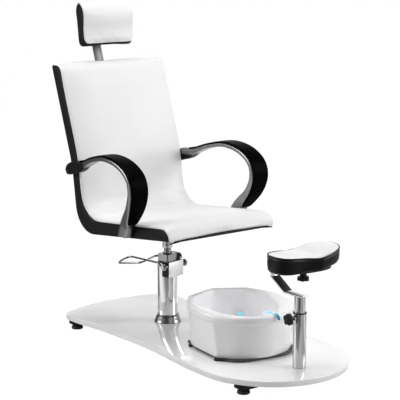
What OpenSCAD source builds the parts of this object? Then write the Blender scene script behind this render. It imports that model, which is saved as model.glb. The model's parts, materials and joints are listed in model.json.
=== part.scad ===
// Pedicure spa chair: a white and black lounge seat with loop arms on a hydraulic pump,
// a lift-out foot bath and an adjustable foot pad, all on one gloss base board.
// The heights start at the floor. Lengths along Y start at the pump's axis, +Y is the rear,
// +X is the sitter's left, and place() then moves the origin to the middle of the footprint.

/* [Base board] */
// Half width of the board at its round front
board_front_r = 289; // [270:1:310]
// Distance of the front round's centre ahead of the pump
board_front_y = 611; // [600:1:640]
// Half width at the waist beside the pump
board_waist = 246; // [235:1:260]
// Half width at the rear corners
board_rear_half = 263; // [255:1:275]
// Distance of the rear edge's middle behind the pump
board_rear_y = 409; // [395:1:430]
// Thickness of the board
board_t = 22; // [18:1:30]
// Height of the board's underside over the floor
board_under = 38; // [36:1:50]
// Radius of the board's long edges
board_edge_r = 4; // [2:1:6]

/* [Frame and feet] */
// Width of the steel rails under the board
rail_w = 50; // [40:1:60]
// Height of the rails
rail_h = 20; // [16:1:22]
// Wall of the rails
rail_wall = 2; // [1.5:0.5:3]
// Distance of each levelling foot from the centre line
foot_x = 225; // [200:1:235]
// Rear feet, behind the pump
foot_rear_y = 310; // [290:1:320]
// Front feet and their rail, behind the foot rest's column
foot_behind = 40; // [37:1:60]
// Diameter of a levelling foot's disc
foot_d = 46; // [40:1:50]
// Height of a levelling foot's disc
foot_h = 13; // [10:1:15]
// Diameter of a levelling foot's threaded stem
foot_stem_d = 10; // [8:1:12]

/* [Hydraulic pump] */
// Diameter of the pump's cylinder
pump_d = 80; // [74:1:86]
// Wall of the cylinder
pump_wall = 5; // [4:0.5:8]
// Height of the cylinder's top over the floor
pump_top = 300; // [290:1:310]
// Diameter of the skirt where it meets the board
skirt_d = 107; // [102:1:116]
// Height of the skirt
skirt_h = 32; // [26:1:40]
// Diameter of the bolted flange inside the skirt
flange_d = 98; // [96:1:100]
// Thickness of the bolted flange
flange_t = 8; // [6:1:10]
// Bolt circle of the pump's flange
flange_pcd = 84; // [82:1:86]
// Diameter of the flange bolts
flange_bolt_d = 8; // [6:1:8]
// Side of the square head block
head_w = 56; // [52:1:60]
// Height of the head block
head_h = 36; // [30:1:40]
// Turn of the head and lever about the pump's axis
head_turn = 9; // [0:1:15]
// Diameter of the lifting piston
piston_d = 29; // [26:1:32]
// Bare piston between the head and the seat hub at the lowest setting
piston_show = 25; // [20:1:30]
// Stroke of the piston
piston_stroke = 130; // [100:5:140]
// Diameter of the lever's round bar
lever_d = 9; // [8:1:11]
// Half spread of the lever's arms at the pivot
lever_half = 58; // [56:1:62]
// Reach of the lever's loop behind the pump
lever_reach = 249; // [220:1:280]
// Half width of the lever's loop at its end
lever_loop = 37; // [30:1:50]

/* [Seat shell] */
// Half width of the seat over its side panels
seat_half = 252; // [245:1:260]
// Height of the seat's valley at the sides
seat_valley_z = 482; // [470:1:490]
// Radius of the bend between seat and back
valley_r = 110; // [100:1:120]
// Rise of the seat's top towards the front
seat_rise = 5.3; // [4:0.1:7]
// Rise of the seat's underside towards the front
under_rise = 6.3; // [5:0.1:8]
// Lean of the back's front face
back_lean = 15.5; // [14:0.5:18]
// Lean of the back's rear face
rear_lean = 19.2; // [17:0.1:21]
// Length of the seat ahead of the pump
seat_front = 345; // [330:1:360]
// Radius of the seat's front edge
nose_r = 47; // [40:1:52]
// Length of the back's straight front face
back_len = 495; // [460:1:520]
// Thickness of the side panels
panel_t = 5.5; // [4:0.5:8]
// Thickness of the black rear cover
cover_t = 3; // [2:0.5:4]
// Thickness of the moulded plywood core
core_t = 12; // [10:1:15]
// Crown of the upholstery between the side panels
seat_crown = 14; // [8:1:18]
// Diameter of the piping along the side panels
piping_d = 4.5; // [3:0.5:6]

/* [Arms] */
// Width of an arm's band at the front of its loop
arm_w = 80; // [70:1:84]
// Height of an arm's top above the seat's valley
arm_rise = 276; // [260:1:290]
// Thickness of the soft strip on an arm
arm_pad_t = 6; // [4:0.5:7]

/* [Headrest] */
// Width of the headrest
head_pad_w = 240; // [220:1:260]
// Height of the headrest
head_pad_h = 174; // [160:1:185]
// Width of the headrest's flat bar
bar_w = 40; // [35:1:45]
// Thickness of the flat bar
bar_t = 6; // [5:1:8]
// Distance from the back's rear face to the middle of the bar
bar_off = 26; // [22:1:30]

/* [Foot rest] */
// Distance of the column ahead of the pump
column_y = 770; // [762:1:780]
// Diameter of the outer tube
column_d = 48; // [44:1:52]
// Height of the outer tube's top over the floor
column_top = 258; // [240:1:270]
// Diameter of the inner tube
post_d = 40; // [36:1:42]
// Height of the inner tube's top over the floor
post_top = 320; // [310:1:335]
// Wall of both tubes
tube_wall = 2.5; // [2:0.5:3]
// Thickness of the bent flat bar
bracket_t = 6; // [5:1:8]
// Height between the bracket's two level plates
bracket_gap = 91; // [80:1:110]
// Length of the foot pad
pad_w = 262; // [240:1:280]
// Depth of the foot pad
pad_d = 170; // [150:1:180]
// Thickness of the foot pad at its valley
pad_t = 50; // [40:1:60]
// Rise of the pad's left horn over the valley, seen from its front
pad_horn_low = 17; // [10:1:25]
// Rise of the pad's right horn over the valley, seen from its front
pad_horn_high = 30; // [20:1:36]

/* [Foot bath] */
// Distance of the bath's centre ahead of the pump
bath_y = 443; // [435:1:446]
// Half width of the bath's rim
bath_rim_x = 196; // [188:1:206]
// Half depth of the bath's rim
bath_rim_y = 222; // [214:1:230]
// Half width of the bath's foot
bath_foot_x = 172; // [160:1:178]
// Half depth of the bath's foot
bath_foot_y = 200; // [190:1:206]
// Height of the bath's rim over the board
bath_h = 162; // [150:1:175]
// Wall of the bath
bath_wall = 4; // [3:0.5:6]
// Turn of the bath on the board
bath_turn = 9; // [0:1:12]

/* [Hidden] */
$fn = 48;
eps = 0.01;

// Clearances that the pieces share
gap = 0.3;          // loose parts and moving neighbours
seam = 0.15;        // pieces of one body that lie on each other
fit = 0.05;         // radial running fit of a shaft in its bore

board_top = board_under + board_t;
rail_z = board_under - rail_h;
foot_front_y = column_y - foot_behind;
pump_base = board_top + flange_t;
head_top = pump_top + head_h;
hub_z = head_top + piston_show;
pad_bottom = post_top + bracket_t + bracket_gap + bracket_t;

// ---------------------------------------------------------------- helpers

function arc(c, r, a0, a1, n) =
    [for (i = [0:n]) let(a = a0 + (a1 - a0) * i / n) c + r * [cos(a), sin(a)]];
function mix(a, b, t) = a + (b - a) * t;
function back_to_front(v) = [for (i = [len(v) - 1:-1:0]) v[i]];
function bend(a, b, c, n) =
    [for (i = [0:n]) let(t = i / n) mix(mix(a, b, t), mix(b, c, t), t)];
function power(v, e) = sign(v) * pow(abs(v), e);
function oval(a, b, e, n) =
    [for (i = [0:n - 1]) let(w = 360 * i / n) [a * power(cos(w), e), b * power(sin(w), e)]];

// A smooth curve through the points of v, with k steps between neighbours
function spline(v, k) =
    let(n = len(v) - 1)
    [for (i = [0:n - 1]) for (j = [0:(i == n - 1 ? k : k - 1)])
        let(t = j / k, p = v[max(i - 1, 0)], q = v[i], r = v[i + 1], s = v[min(i + 2, n)])
        (2 * q + (r - p) * t + (2 * p - 5 * q + 4 * r - s) * t * t
            + (3 * q - p - 3 * r + s) * t * t * t) / 2];

// A closed skin over rings of equal length, capped by fans about each end ring's middle
module loft(rings) {
    n = len(rings[0]);
    m = len(rings);
    ends = [for (ring = [rings[0], rings[m - 1]]) [for (k = [0:2]) middle(ring, k)]];
    points = concat([for (ring = rings) for (p = ring) p], ends);
    sides = [for (i = [0:m - 2]) for (j = [0:n - 1]) let(a = i * n + j, b = i * n + (j + 1) % n)
        for (f = [[a, b + n, b], [a, a + n, b + n]]) f];
    caps = [for (j = [0:n - 1]) let(k = (j + 1) % n, top = (m - 1) * n)
        for (f = [[m * n, j, k], [m * n + 1, top + k, top + j]]) f];
    polyhedron(points, concat(sides, caps), convexity = 8);
}
// A closed wall over rings that run up its outside and back down its inside
module wall_loft(rings) {
    n = len(rings[0]);
    m = len(rings);
    faces = [for (i = [0:m - 1]) for (j = [0:n - 1])
        let(next = (i + 1) % m, a = i * n + j, b = i * n + (j + 1) % n,
            c = next * n + j, d = next * n + (j + 1) % n)
        for (f = [[a, d, b], [a, c, d]]) f];
    polyhedron([for (ring = rings) for (p = ring) p], faces, convexity = 8);
}
function middle(ring, k) = sum([for (p = ring) p[k]]) / len(ring);
function sum(v, i = 0) = i < len(v) ? v[i] + sum(v, i + 1) : 0;

// A skin over rings that run along one edge and back along the other, capped by strips
module strip_loft(rings) {
    n = len(rings[0]);
    m = len(rings);
    points = [for (ring = rings) for (p = ring) p];
    sides = [for (i = [0:m - 2]) for (j = [0:n - 1]) let(a = i * n + j, b = i * n + (j + 1) % n)
        for (f = [[a, b, b + n], [a, b + n, a + n]]) f];
    caps = [for (j = [0:n / 2 - 2]) let(k = n - 1 - j, top = (m - 1) * n)
        for (f = [[j, k, j + 1], [j + 1, k, k - 1],
                  [top + j, top + j + 1, top + k], [top + j + 1, top + k - 1, top + k]]) f];
    polyhedron(points, concat(sides, caps), convexity = 8);
}

// Sections that grow towards the middle, then shrink again on the other side of it
function both_sides(half) =
    concat([for (s = half) [-s[0], s[1], s[2]]], back_to_front([for (s = half) if (s[0] > 0) s]));

// A round bar along a path of points, its corners bent to radius r
module bar_path(path, d, r) {
    last = len(path) - 1;
    line = concat([path[0]], [for (i = [1:last - 1])
        let(a = unit(path[i - 1] - path[i]), b = unit(path[i + 1] - path[i]),
            reach = r / tan(acos(a * b) / 2))
        for (p = round_corner(path[i] + a * reach, path[i], path[i] + b * reach)) p], [path[last]]);
    up = unit(cross(path[1] - path[0], path[2] - path[1]));
    loft([for (i = [0:len(line) - 1])
        let(t = unit(line[min(i + 1, len(line) - 1)] - line[max(i - 1, 0)]),
            side = unit(cross(up, t)), top = cross(t, side))
        [for (a = [0:30:330]) line[i] + d / 2 * (side * cos(a) + top * sin(a))]]);
}
function unit(v) = v / norm(v);
// Points of a round bend from a to c, whose tangents meet at b
function round_corner(a, b, c) =
    let(u = unit(a - b), v = unit(c - b), half = acos(u * v) / 2, r = norm(a - b) * tan(half),
        m = b + unit(u + v) * r / sin(half), p = unit(a - m), w = unit(b - m - ((b - m) * p) * p))
    [for (i = [0:4]) let(g = (90 - half) * i / 2) m + r * (p * cos(g) + w * sin(g))];

// Extrudes a (Y, Z) outline along X from x0 to x1
module across(x0, x1) {
    translate([x0, 0, 0]) rotate([90, 0, 90]) linear_extrude(x1 - x0) children();
}
module mirrored() {
    children();
    mirror([1, 0, 0]) children();
}
module hex(af, h) { cylinder(h = h, d = af / cos(30), $fn = 6); }
module tube(d, wall, h) {
    difference() {
        cylinder(h = h, d = d, $fn = 64);
        translate([0, 0, -eps]) cylinder(h = h + 2 * eps, d = d - 2 * wall, $fn = 64);
    }
}

// ---------------------------------------------------------------- base board

// Half width of the board along its sides
side_y0 = -board_front_y;
side_y1 = -100;
side_y2 = 117;
side_y3 = 250;
board_corner_r = 50;
function ease(t) = (1 - cos(180 * min(1, max(0, t)))) / 2;
function board_half(y) =
    y < side_y2 ? mix(board_front_r, board_waist, ease((y - side_y0) / (side_y1 - side_y0)))
                : mix(board_waist, board_rear_half, ease((y - side_y2) / (side_y3 - side_y2)));
// The right half of the outline from the front's middle to the rear's middle
rear_side_y = board_rear_y - 110;
rear_bulge = 52;
board_half_outline = concat(
    arc([0, side_y0], board_front_r, -90, 0, 18),
    [for (i = [1:16]) let(y = mix(side_y0, rear_side_y, i / 16)) [board_half(y), y]],
    bend([board_rear_half, rear_side_y + 4],
         [board_rear_half, board_rear_y - rear_bulge + 4],
         [board_rear_half - board_corner_r, board_rear_y - rear_bulge + 12], 5),
    [for (i = [1:7]) let(x = (board_rear_half - board_corner_r) * (1 - i / 7))
        [x, board_rear_y - (rear_bulge - 12) * pow(x / (board_rear_half - board_corner_r), 2)]]
);
board_outline = concat(board_half_outline,
    [for (i = [len(board_half_outline) - 2:-1:1]) [-board_half_outline[i][0], board_half_outline[i][1]]]);
board_mid = [0, -board_front_y / 2];
function board_ring(inset, z) =
    [for (p = board_outline) let(v = p - board_mid, q = board_mid + v * (1 - inset / norm(v)))
        [q[0], q[1], z]];
function board_edge(z) =
    [for (a = [0, 30, 60, 90]) [board_edge_r * (1 - cos(a)), z + board_edge_r * sin(a)]];

module base_board() color("white") difference() {
    loft(concat(
        [for (e = back_to_front(board_edge(0))) board_ring(e[0], board_under + board_edge_r - e[1])],
        [for (e = board_edge(board_top - board_edge_r)) board_ring(e[0], e[1])]));
    for (a = [45:90:315]) rotate(a)
        translate([flange_pcd / 2, 0, board_under - 1])
            cylinder(h = board_t + 2, d = flange_bolt_d + 2 * gap);
    translate([0, -column_y, board_under - 1]) cylinder(h = board_t + 2, d = column_d + 2 * gap, $fn = 64);
    plate_bolt_places()
        translate([0, 0, -1]) cylinder(h = plate_bolt_grip + 1 + gap, d = 6 + 2 * gap);
}

// ---------------------------------------------------------------- frame and feet

spine_w = 40;
module box_rail(length, w) {
    difference() {
        cube([length, w, rail_h], center = true);
        cube([length + 1, w - 2 * rail_wall, rail_h - 2 * rail_wall], center = true);
    }
}
module cross_rail(y) {
    difference() {
        translate([0, y, rail_z + rail_h / 2]) box_rail(2 * rail_half, rail_w);
        for (s = [-1, 1]) translate([s * foot_x, y, rail_z - 1])
            cylinder(h = rail_h - rail_wall + 1 - gap, d = foot_stem_d + 2 * gap);
    }
    // Threaded bosses for the feet, inside the rail
    for (s = [-1, 1]) translate([s * foot_x, y, rail_z + rail_wall - eps]) difference() {
        cylinder(h = rail_h - 2 * rail_wall + 2 * eps, d = foot_stem_d + 8);
        translate([0, 0, -1]) cylinder(h = rail_h, d = foot_stem_d + 2 * gap);
    }
}
rail_half = foot_x + 20;
module rear_rail() color("dimgray") cross_rail(foot_rear_y);
module front_rail() color("dimgray") cross_rail(-foot_front_y);
spine_rear = foot_rear_y - rail_w / 2;
spine_front = -foot_front_y + rail_w / 2;
module spine_rail() color("dimgray")
    translate([0, (spine_rear + spine_front) / 2, rail_z + rail_h / 2])
        rotate(90) box_rail(spine_rear - spine_front, spine_w);
module rail_caps() color("black")
    for (y = [foot_rear_y, -foot_front_y]) mirrored() {
        translate([rail_half, y - rail_w / 2, rail_z]) cube([3, rail_w, rail_h]);
        translate([rail_half - 8, y - rail_w / 2 + rail_wall + gap, rail_z + rail_wall + gap])
            cube([8 + eps, rail_w - 2 * (rail_wall + gap), rail_h - 2 * (rail_wall + gap)]);
    }

module levelling_foot(x, y) color("black") translate([x, y, 0]) {
    rotate_extrude($fn = 48) polygon([[0, 0], [foot_d / 2 - 1, 0], [foot_d / 2, 1],
        [foot_d / 2, foot_h - 5], [foot_d / 2 - 3, foot_h - 1],
        [foot_stem_d / 2 + 2, foot_h], [0, foot_h]]);
    cylinder(h = board_under - rail_wall - 2 * gap, d = foot_stem_d, $fn = 32);
}
module foot_rear_left() levelling_foot(foot_x, foot_rear_y);
module foot_rear_right() levelling_foot(-foot_x, foot_rear_y);
module foot_front_left() levelling_foot(foot_x, -foot_front_y);
module foot_front_right() levelling_foot(-foot_x, -foot_front_y);

// ---------------------------------------------------------------- pump

module pump_flange() color("gray") translate([0, 0, board_top]) difference() {
    cylinder(h = flange_t, d = flange_d, $fn = 64);
    for (a = [45:90:315]) rotate(a) translate([flange_pcd / 2, 0, -1])
        cylinder(h = flange_t + 2, d = flange_bolt_d + 2 * gap);
}
flange_bolt_head = 5;
module flange_bolts() color("silver") for (a = [45:90:315]) rotate(a)
    translate([flange_pcd / 2, 0, board_under - flange_bolt_head]) {
        hex(13, flange_bolt_head);
        cylinder(h = flange_bolt_head + board_t + flange_t - 1, d = flange_bolt_d, $fn = 32);
    }

// A thin spun collar that hides the flange
skirt_wall = 1.5;
skirt_z = board_top + 3;
module pump_skirt() color("silver") {
    r0 = skirt_d / 2;
    r1 = pump_d / 2 + gap;
    top = board_top + skirt_h;
    profile = [[r0, board_top], [r0, skirt_z], [r0 - 3, skirt_z + 6], [r1 + 5.5, top - 7],
               [r1 + skirt_wall, top - 4], [r1 + skirt_wall, top]];
    inner = [[r1, top], [r1, top - 4.5], [r1 + 4, top - 8.5], [r0 - 3 - skirt_wall, skirt_z + 5],
             [r0 - skirt_wall, skirt_z - 0.5], [r0 - skirt_wall, board_top]];
    difference() {
        rotate_extrude($fn = 96) polygon(concat(profile, inner));
        skirt_screw_place() translate([0, 0, -6]) cylinder(h = 12, d = 4 + 2 * gap, $fn = 24);
    }
}
module skirt_screw_place()
    rotate(-35) translate([pump_d / 2 + gap + skirt_wall, 0, board_top + skirt_h - 2.5]) rotate([0, 90, 0])
        children();
module skirt_screw() color("black") skirt_screw_place() {
    translate([0, 0, gap]) cylinder(h = 3, d = 4, $fn = 24);
    translate([0, 0, -skirt_wall]) cylinder(h = skirt_wall + gap + eps, d = 4, $fn = 24);
}

module pump_cylinder() color("silver") translate([0, 0, pump_base]) {
    tube(pump_d, pump_wall, pump_top - pump_base);
    cylinder(h = 6, d = pump_d, $fn = 64);
}

head_corner = 8;
module head_outline(w, r) {
    square([w, w - 2 * r], center = true);
    square([w - 2 * r, w], center = true);
    for (x = [-1, 1], y = [-1, 1]) translate([x, y] * (w / 2 - r)) circle(r, $fn = 32);
}
module pump_head() color("silver") rotate(head_turn) difference() {
    union() {
        translate([0, 0, pump_top]) linear_extrude(head_h) head_outline(head_w, head_corner);
        translate([0, 0, pump_top]) cylinder(h = 6, d = pump_d, $fn = 64);
        translate([0, 0, pump_top - 20]) cylinder(h = 21, d = pump_d - 2 * pump_wall - 2 * fit, $fn = 64);
    }
    translate([0, 0, pump_top - 21]) cylinder(h = head_h + 30, d = piston_d + 2 * fit, $fn = 64);
    translate([0, 0, head_top - seal_h]) cylinder(h = seal_h + 1, d = piston_d + 8, $fn = 64);
}
seal_h = 5;
module piston_seal() color("black") translate([0, 0, head_top - seal_h]) difference() {
    cylinder(h = seal_h + 2, d = piston_d + 8 - 2 * fit, $fn = 64);
    translate([0, 0, -1]) cylinder(h = seal_h + 4, d = piston_d + 2 * gap, $fn = 64);
}
// Quarter-round cap on the head's left side
cap_out = 30;
module head_cap() color("black") rotate(head_turn)
    translate([head_w / 2, 20, block_z1 + gap]) rotate([90, 0, 0]) linear_extrude(46)
        intersection() {
            circle(cap_out, $fn = 64);
            square([cap_out, head_top - block_z1 - gap - 1]);
        }

// The lever's pivot, ahead of the cylinder in the head's own turned frame
pivot = [0, -37, 294];
block_w = 82;
block_z0 = 250;
block_z1 = 310;
block_front = 47;
// Two stub shafts clear the cylinder between them
shaft_d = 12;
shaft_in = 28;
// The valve's plunger stands on a stub shaft in a bore of the block
plunger_d = 9;
plunger_x = 34;
plunger_low = pivot[2] + shaft_d / 2 + gap;
plunger_show = 12;
module valve_block() color("whitesmoke") rotate(head_turn) difference() {
    translate([-block_w / 2, -block_front, block_z0])
        cube([block_w, block_front - 10, block_z1 - block_z0]);
    cylinder(h = block_z1 + 1, d = pump_d + 2 * fit, $fn = 64);
    translate(pivot - [block_w, 0, 0]) rotate([0, 90, 0])
        cylinder(h = 2 * block_w, d = shaft_d + 2 * fit, $fn = 48);
    translate([plunger_x, pivot[1], pivot[2]]) cylinder(h = block_z1, d = plunger_d + 2 * fit, $fn = 48);
}
module pump_plunger() color("silver") rotate(head_turn) translate([plunger_x, pivot[1], plunger_low])
    cylinder(h = block_z1 + plunger_show - plunger_low, d = plunger_d, $fn = 48);
module lever_shaft() color("dimgray") rotate(head_turn)
    mirrored() translate(pivot + [shaft_in, 0, 0]) rotate([0, 90, 0])
        cylinder(h = lever_half - hub_w / 2 - shaft_in, d = shaft_d, $fn = 48);
hub_d = 30;
hub_w = 10;
module lever() color("silver") rotate(head_turn) {
    far_z = 279;
    near_z = 262;
    path = [pivot + [-lever_half, 14, 2], [-lever_half, 0, 308],
            [lever_loop, lever_reach, far_z], [-lever_loop, lever_reach, near_z],
            [-lever_loop + 4, 112, 284], [lever_half, 116, 300],
            [lever_half, -8, 302], pivot + [lever_half, 10, 2]];
    bar_path(path, lever_d, 22);
    for (s = [-1, 1]) translate(pivot + [s * lever_half - hub_w / 2, 0, 0]) rotate([0, 90, 0])
        difference() {
            cylinder(h = hub_w, d = hub_d, $fn = 48);
            translate([0, 0, -1]) cylinder(h = hub_w + 2, d = 8 + 2 * gap);
        }
}
module lever_bolts() color("silver") rotate(head_turn)
    for (s = [-1, 1]) translate(pivot + [s * (lever_half + hub_w / 2), 0, 0]) rotate([0, s * 90, 0]) {
        hex(13, 6);
        translate([0, 0, -hub_w]) cylinder(h = hub_w, d = 8, $fn = 32);
    }
// The piston ends under the seat plate, and reaches down past the head by its whole stroke
hub_sink = 34;
piston_low = pump_top - 25 - piston_stroke;
module piston() color("silver") translate([0, 0, piston_low])
    cylinder(h = hub_z + hub_sink - piston_low, d = piston_d, $fn = 64);

// ---------------------------------------------------------------- seat shell

// Inner (sat on) and outer side curves in (Y, Z), both from the front up to the back's top.
// t moves either curve into the foam, in is the distance from its end.
valley_in = [113, seat_valley_z + valley_r];
valley_out = [159, seat_valley_z + 47];
nose_c = let(x = valley_in[0] - (valley_r + nose_r) * sin(seat_rise) + seat_front - nose_r)
    valley_in - (valley_r + nose_r) * [sin(seat_rise), cos(seat_rise)]
    + x * [-1, tan(seat_rise)];
top_r = 36;
back_dir = [sin(back_lean), cos(back_lean)];
back_out = [cos(back_lean), -sin(back_lean)];
back_foot = valley_in + valley_r * back_out;
top_c = back_foot + back_len * back_dir + top_r * back_out;
low_lean = 8;
low_dir = [sin(low_lean), cos(low_lean)];
low_out = [cos(low_lean), -sin(low_lean)];
rear_dir = [sin(rear_lean), cos(rear_lean)];
rear_out = [cos(rear_lean), -sin(rear_lean)];
mid_out = [cos((low_lean + rear_lean) / 2), -sin((low_lean + rear_lean) / 2)];
rear_r = 14;
rear_bend = valley_out + valley_r * low_out + 160 * low_dir;
rear_len = (top_c[1] + top_r - rear_bend[1] - rear_r * (1 + sin(rear_lean))) / cos(rear_lean);
rear_c = rear_bend + rear_len * rear_dir - rear_r * rear_out;
under_end = valley_out + valley_r * [-sin(under_rise), -cos(under_rise)];
function under_at(y) = under_end[1] + (under_end[0] - y) * tan(under_rise);
function under_pt(t, in) = [in - seat_front, under_at(in - seat_front) + t / cos(under_rise)];
function rear_pt(t, in) = rear_c + (rear_r - t) * rear_out - in * rear_dir;

function inner_curve(t) = concat(
    arc(nose_c, nose_r - t, 172, 90 - seat_rise, 5),
    arc(valley_in, valley_r + t, -90 - seat_rise, -back_lean, 8),
    [for (i = [1:4]) back_foot + t * back_out + (40 + 90 * i) * back_dir],
    arc(top_c, top_r - t, 180 - back_lean, 70, 5));
function outer_mid(t) = concat(
    arc(valley_out, valley_r - t, -90 - under_rise, -low_lean, 8),
    bend(rear_bend - t * low_out - 55 * low_dir, rear_bend - t * mid_out,
         rear_bend - t * rear_out + 55 * rear_dir, 3));
function cover_curve(t, in) =
    concat([under_pt(t, in)], outer_mid(t), arc(rear_c, rear_r - t, -rear_lean, cover_end, 5));
cover_in = 3;
cover_end = 45;
function core_curve(t) = concat([under_pt(t, core_in)], outer_mid(t), [rear_pt(t, core_in)]);
core_in = 12;
foam_t = cover_t + core_t;
// The cushion's back, wrapped round the core's front and top edges
cushion_base = concat(
    [under_pt(cover_t, cover_in), under_pt(cover_t, 2 * cover_in), under_pt(cover_t, core_in - gap),
     under_pt(foam_t, core_in - gap), under_pt(foam_t, 25), under_pt(foam_t, 60)],
    outer_mid(foam_t),
    [rear_pt(foam_t, 60), rear_pt(foam_t, core_in - gap), rear_pt(cover_t, core_in - gap),
     rear_pt(cover_t, 0),
     rear_c + (rear_r - cover_t) * [cos(cover_end), sin(cover_end)],
     rear_c + rear_r * [cos(cover_end + 4), sin(cover_end + 4)]]);
foam_half = seat_half - panel_t - gap;
// The white edge, then the piping, then the side panel, from the front face back
lap = 5;
edge_in = lap + gap + piping_d;

module side_profile() polygon(concat(inner_curve(edge_in), back_to_front(cover_curve(0, edge_in))));
module side_panel_left() color("#222222") across(seat_half - panel_t, seat_half) side_profile();
module side_panel_right() color("#222222") across(-seat_half, panel_t - seat_half) side_profile();
module rear_cover() color("#1c1c1c") difference() {
    across(gap - seat_half + panel_t, seat_half - panel_t - gap)
        polygon(concat(cover_curve(0, cover_in), back_to_front(cover_curve(cover_t - seam, cover_in))));
    plate_screw_holes();
    guide_screw_holes();
}
module seat_core() color("burlywood") difference() {
    across(-foam_half, foam_half)
        polygon(concat(core_curve(cover_t + seam), back_to_front(core_curve(foam_t - gap))));
    plate_screw_holes();
    guide_screw_holes();
}
// Distance in from the side, and depth, of the rounded white edge
edge_steps = [[0, 3], [1, 1.2], [3, 0.2], [panel_t, 0]];
module seat_cushion() color("white") {
    // Share of the half width, and how far the surface stands out of the side curve
    steps = [[1, 0.4], [0.985, 1.5], [0.93, 5], [0.8, 9], [0.5, 12.5], [0, seat_crown]];
    body = [for (s = steps) [s[0] * foam_half, s[1], cushion_base]];
    // Beyond the core only a skin runs on over the side panel's edge
    skin = [for (s = edge_steps) [seat_half - s[0], -s[1], inner_curve(lap)]];
    half = concat(skin, body);
    strip_loft([for (s = both_sides(half))
        [for (p = concat(back_to_front(s[2]), inner_curve(-s[1]))) [s[0], p[0], p[1]]]]);
}
module piping() color("black") {
    r = piping_d / 2;
    path = inner_curve(edge_in - r - seam);
    for (side = [-1, 1]) loft([for (i = [0:len(path) - 1])
        let(v = path[min(i + 1, len(path) - 1)] - path[max(i - 1, 0)], n = [-v[1], v[0]] / norm(v))
        [for (a = [0:45:315]) let(q = path[i] - r * side * sin(a) * n)
            [side * (seat_half + gap - r + r * cos(a)), q[0], q[1]]]]);
    // Bead under the seat's front edge
    front = under_pt(0, r + 1);
    translate([-seat_half + r, front[0], front[1] - r - seam])
        rotate([0, 90, 0]) cylinder(h = 2 * (seat_half - r), d = piping_d, $fn = 16);
}

// Under the seat
plate_t = 5;
plate_w = 180;
plate_l = 200;
plate_y = -20;
screw_d = 8;
screw_edge = 18;
nut_h = 5.3;
module on_under(y) translate([0, y, under_at(y)]) rotate([-under_rise, 0, 0]) children();
module plate_screw_places() on_under(plate_y) for (x = [-1, 1], y = [-1, 1])
    translate([x * (plate_w / 2 - screw_edge), y * (plate_l / 2 - screw_edge), 0]) children();
module plate_screw_holes()
    plate_screw_places() translate([0, 0, -plate_t - 1]) cylinder(h = 40, d = screw_d + 2 * gap, $fn = 24);
module seat_plate() color("dimgray") difference() {
    on_under(plate_y) translate([-plate_w / 2, -plate_l / 2, -plate_t]) cube([plate_w, plate_l, plate_t]);
    plate_screw_holes();
}
module plate_screws() color("silver") plate_screw_places() {
    translate([0, 0, -plate_t - nut_h]) hex(13, nut_h);
    translate([0, 0, -plate_t - eps]) cylinder(h = plate_t + foam_t - 2, d = screw_d, $fn = 24);
}
hub_ring_d = 40;
hub_ring_h = 13;
hub_cone_h = 40;
hub_cone_d = 90;
// Up to the plate that the cone's top is cut to
hub_rise = under_at(0) - hub_z + 2;
module seat_hub() color("silver") difference() {
    translate([0, 0, hub_z]) union() {
        cylinder(h = hub_ring_h, d = hub_ring_d, $fn = 64);
        cylinder(h = hub_rise, d = hub_ring_d - 3, $fn = 64);
        translate([0, 0, hub_rise - hub_cone_h])
            cylinder(h = hub_cone_h, d1 = hub_ring_d - 3, d2 = hub_cone_d, $fn = 64);
    }
    on_under(0) translate([-100, -100, -plate_t]) cube([200, 200, 100]);
    translate([0, 0, hub_z - 1]) cylinder(h = hub_sink + 1 + gap, d = piston_d + 2 * fit, $fn = 64);
}

// ---------------------------------------------------------------- arms

// Stations along an arm's middle: Y, Z above the valley, width across, thickness, gap to the seat
arm_front = arm_w;
arm_stations = [
    [304, 168, 18, 24, 0], [282, 180, 24, 44, 0], [240, 194, 28, 50, 0], [196, 208, 33, 38, 0],
    [150, 224, 40, 22, 1], [70, arm_rise - 27, 54, 19, 2], [-30, arm_rise - 10, 0.85 * arm_front, 21, 2],
    [-125, arm_rise - 25, 0.94 * arm_front, 23, 1], [-189, 212, arm_front, 24, 0],
    [-204, 146, arm_front, 25, 0], [-180, 78, 0.84 * arm_front, 30, 0], [-147, 36, 0.6 * arm_front, 44, 0],
    [-121, 7, 36, 58, 0], [-105, -13, 28, 67, 0], [-100, -31, 25, 70, 0]];
arm_line = spline(arm_stations, 3);
arm_in = seat_half + 2 * gap;
function arm_normal(i) =
    let(a = arm_line[max(i - 1, 0)], b = arm_line[min(i + 1, len(arm_line) - 1)],
        v = [b[0] - a[0], b[1] - a[1]])
    [v[1], -v[0]] / norm(v);
function arm_ring(i, lift, share, thick) =
    let(s = arm_line[i], n = arm_normal(i))
    [for (q = oval(share * s[2] / 2, thick / 2, 0.55, 16))
        let(y = s[0] + n[0] * (q[1] + lift), z = s[1] + seat_valley_z + n[1] * (q[1] + lift))
        [arm_in + s[4] + s[2] / 2 + q[0], y, z]];
pad_first = 9;
pad_last = 31;
// Depth of the recess that the soft strip lies in, on the outside of the loop
function recess(i) = i >= pad_first - 1 && i <= pad_last + 1 ? arm_pad_t : 0;
module arm() loft([for (i = [0:len(arm_line) - 1])
    arm_ring(i, -recess(i) / 2, 1, arm_line[i][3] - recess(i))]);
module arm_pad() loft([for (i = [pad_first:pad_last])
    arm_ring(i, (arm_line[i][3] - arm_pad_t) / 2 + seam, i == pad_first || i == pad_last ? 0.8 : 0.94,
        arm_pad_t - seam)]);
module arm_left() color("#101010") arm();
module arm_right() color("#101010") mirror([1, 0, 0]) arm();
module arm_pad_left() color("#202020") arm_pad();
module arm_pad_right() color("#202020") mirror([1, 0, 0]) arm_pad();

// ---------------------------------------------------------------- headrest

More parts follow.
